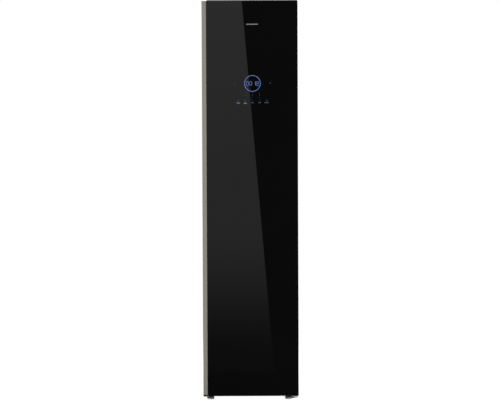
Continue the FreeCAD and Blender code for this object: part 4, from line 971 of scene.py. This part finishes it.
def make_camera():
    data = bpy.data.cameras.new("camera")
    data.sensor_width = SENSOR_WIDTH
    data.lens = data.sensor_width * CAMERA_FOCUS / PICTURE_WIDTH
    data.clip_end = CAMERA_REACH
    camera = add_object("camera", data)
    aim = Euler((math.radians(90 - CAMERA_PITCH), 0, 0)).to_matrix()
    roll = Matrix.Rotation(math.radians(CAMERA_ROLL), 3, "Z")
    camera.matrix_world = Matrix.Translation(CAMERA_PLACE) @ (aim @ roll).to_4x4()
    bpy.context.scene.camera = camera


def make_lamp(name, place, power):
    data = bpy.data.lights.new(name, "AREA")
    data.shape = "RECTANGLE"
    data.size, data.size_y = LAMP_SIZE
    data.energy = power
    lamp = add_object(name, data)
    lamp.location = place
    aim = LAMP_AIM - Vector(place)
    lamp.rotation_euler = aim.to_track_quat("-Z", "Y").to_euler()


def make_world():
    """White to the camera and to gloss, softer as light."""
    world = bpy.data.worlds.new("studio")
    bpy.context.scene.world = world
    world.use_nodes = True
    tree = world.node_tree
    back = tree.nodes["Background"]
    set_inputs(back, Color=WORLD_WHITE)
    level = mapped(tree, seen_rays(tree), (0, 1), WORLD_LEVELS)
    link(tree, level, back.inputs["Strength"])


def floor_material():
    """Matt floor with a glow of its own that fades out with the distance from the middle."""
    made, tree = new_tree("floor")
    out = tree.nodes.new("ShaderNodeOutputMaterial")
    matt = tree.nodes.new("ShaderNodeBsdfDiffuse")
    set_inputs(matt, Color=FLOOR_COLOUR)
    glow = tree.nodes.new("ShaderNodeEmission")
    strength = calculate(tree, "MULTIPLY", seen_rays(tree), FLOOR_GLOW)
    link(tree, strength, glow.inputs["Strength"])
    both = tree.nodes.new("ShaderNodeAddShader")
    link(tree, matt.outputs["BSDF"], both.inputs[0])
    link(tree, glow.outputs["Emission"], both.inputs[1])
    clear = tree.nodes.new("ShaderNodeBsdfTransparent")
    far = tree.nodes.new("ShaderNodeVectorMath")
    far.operation = "LENGTH"
    link(tree, own_place(tree), far.inputs[0])
    fade = mapped(tree, far.outputs["Value"], FLOOR_FADE, kind="SMOOTHSTEP")
    mix = tree.nodes.new("ShaderNodeMixShader")
    link(tree, fade, mix.inputs["Fac"])
    link(tree, both.outputs["Shader"], mix.inputs[1])
    link(tree, clear.outputs["BSDF"], mix.inputs[2])
    link(tree, mix.outputs["Shader"], out.inputs["Surface"])
    return made


def make_floor():
    """Pale floor that keeps a soft shadow and fades into the white background."""
    mesh = bmesh.new()
    bmesh.ops.create_circle(mesh, cap_ends=True, radius=FLOOR_RADIUS, segments=FLOOR_SIDES)
    data = bpy.data.meshes.new("floor")
    mesh.to_mesh(data)
    mesh.free()
    floor = add_object("floor", data)
    floor.data.materials.append(floor_material())
    floor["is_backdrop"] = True


# ---------------------------------------------------------------- cards

# Cards stand in front of the door and are seen only in reflections. The bright one ends on its
# right at a slanted edge, given by the points (x, z) of the glass where its image ends.
CARD_GAP = 1.2
CARD_Y = GLASS_LOW.y - CARD_GAP
EDGE_TOP = (-0.0347, 1.83)
EDGE_BOTTOM = (0.0973, 0.266)
CARD_LEFT = -0.75
# heights of the glass where the bright card's image ends
CARD_HEIGHTS = (0.0, 2.2)
# ramps of the glow over the height of the glass: low, high, level at low, level at high, kind
BRIGHT_LEVELS = ((0.03, 0.18, 0, 0.025, "LINEAR"), (0.19, 0.84, 0, 0.37, "SMOOTHSTEP"),
                 (1.05, 1.83, 0, 0.125, "LINEAR"))
BLACK_Y = CARD_Y - 0.02
BLACK_HALF_WIDTH = 3.0
BLACK_LOW, BLACK_HIGH = 0.004, 3.2
BLACK_NEAR_Y = GLASS_LOW.y - 0.03


def mirrored(x, z):
    """Where on the cards the camera sees the glass point (x, z) mirrored."""
    share = CARD_GAP / (GLASS_LOW.y - CAMERA_PLACE.y)
    return x + (x - CAMERA_PLACE.x) * share, z + (z - CAMERA_PLACE.z) * share


def make_card(name, corners, material):
    data = bpy.data.meshes.new(name)
    data.from_pydata(corners, [], [tuple(range(len(corners)))])
    card = add_object(name, data)
    card.data.materials.append(material)
    card.visible_camera = False
    card.visible_diffuse = False
    card.visible_transmission = False
    card.visible_shadow = False
    card.visible_volume_scatter = False
    card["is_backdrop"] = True


def card_material(name, levels):
    """Card that glows by the sum of its ramps over the height; without ramps it is black."""
    made, tree = new_tree(name)
    out = tree.nodes.new("ShaderNodeOutputMaterial")
    glow = tree.nodes.new("ShaderNodeEmission")
    set_inputs(glow, Strength=0)
    link(tree, glow.outputs["Emission"], out.inputs["Surface"])
    if not levels:
        return made
    height = own_height(tree)
    total = None
    for low, high, start, stop, kind in levels:
        span = (mirrored(0, low)[1], mirrored(0, high)[1])
        level = mapped(tree, height, span, (start, stop), kind)
        total = level if total is None else calculate(tree, "ADD", total, level)
    link(tree, total, glow.inputs["Strength"])
    return made


def make_cards():
    slope = (EDGE_BOTTOM[0] - EDGE_TOP[0]) / (EDGE_TOP[1] - EDGE_BOTTOM[1])
    bottom, top = [mirrored(EDGE_TOP[0] + (EDGE_TOP[1] - z) * slope, z) for z in CARD_HEIGHTS]
    corners = [(CARD_LEFT, CARD_Y, top[1]), (top[0], CARD_Y, top[1]),
               (bottom[0], CARD_Y, bottom[1]), (CARD_LEFT, CARD_Y, bottom[1])]
    make_card("bright_card", corners, card_material("bright_card", BRIGHT_LEVELS))
    dark = card_material("black_card", ())
    left, right = -BLACK_HALF_WIDTH, BLACK_HALF_WIDTH
    wall = [(left, BLACK_Y, BLACK_LOW), (right, BLACK_Y, BLACK_LOW),
            (right, BLACK_Y, BLACK_HIGH), (left, BLACK_Y, BLACK_HIGH)]
    make_card("black_wall_card", wall, dark)
    ground = [(left, BLACK_Y, BLACK_LOW), (right, BLACK_Y, BLACK_LOW),
              (right, BLACK_NEAR_Y, BLACK_LOW), (left, BLACK_NEAR_Y, BLACK_LOW)]
    make_card("black_floor_card", ground, dark)


def make_stage():
    make_world()
    make_floor()
    make_cards()
    for name, place, power in LAMPS:
        make_lamp(name, place, power)
    bpy.context.scene.view_settings.view_transform = "Standard"


# ---------------------------------------------------------------- everything

for node_name in NODES:
    dress_node(node_name)
make_camera()
make_stage()
make_pane()
make_display()
make_trim_bar()
for side in ("left", "right"):
    make_foot(side)
make_cap_glide()
make_hinge_lip()
make_screws()
make_inlet_pins()
make_gasket()
make_door_liner()
for side in ("left", "right"):
    make_side_liner(side)
make_back_liner()
make_filter_screens()
make_back_sheet()

boxes = {"cad": CAD_BOX, "visual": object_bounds()}
{name: [list(corner) for corner in corners] for name, corners in boxes.items()}
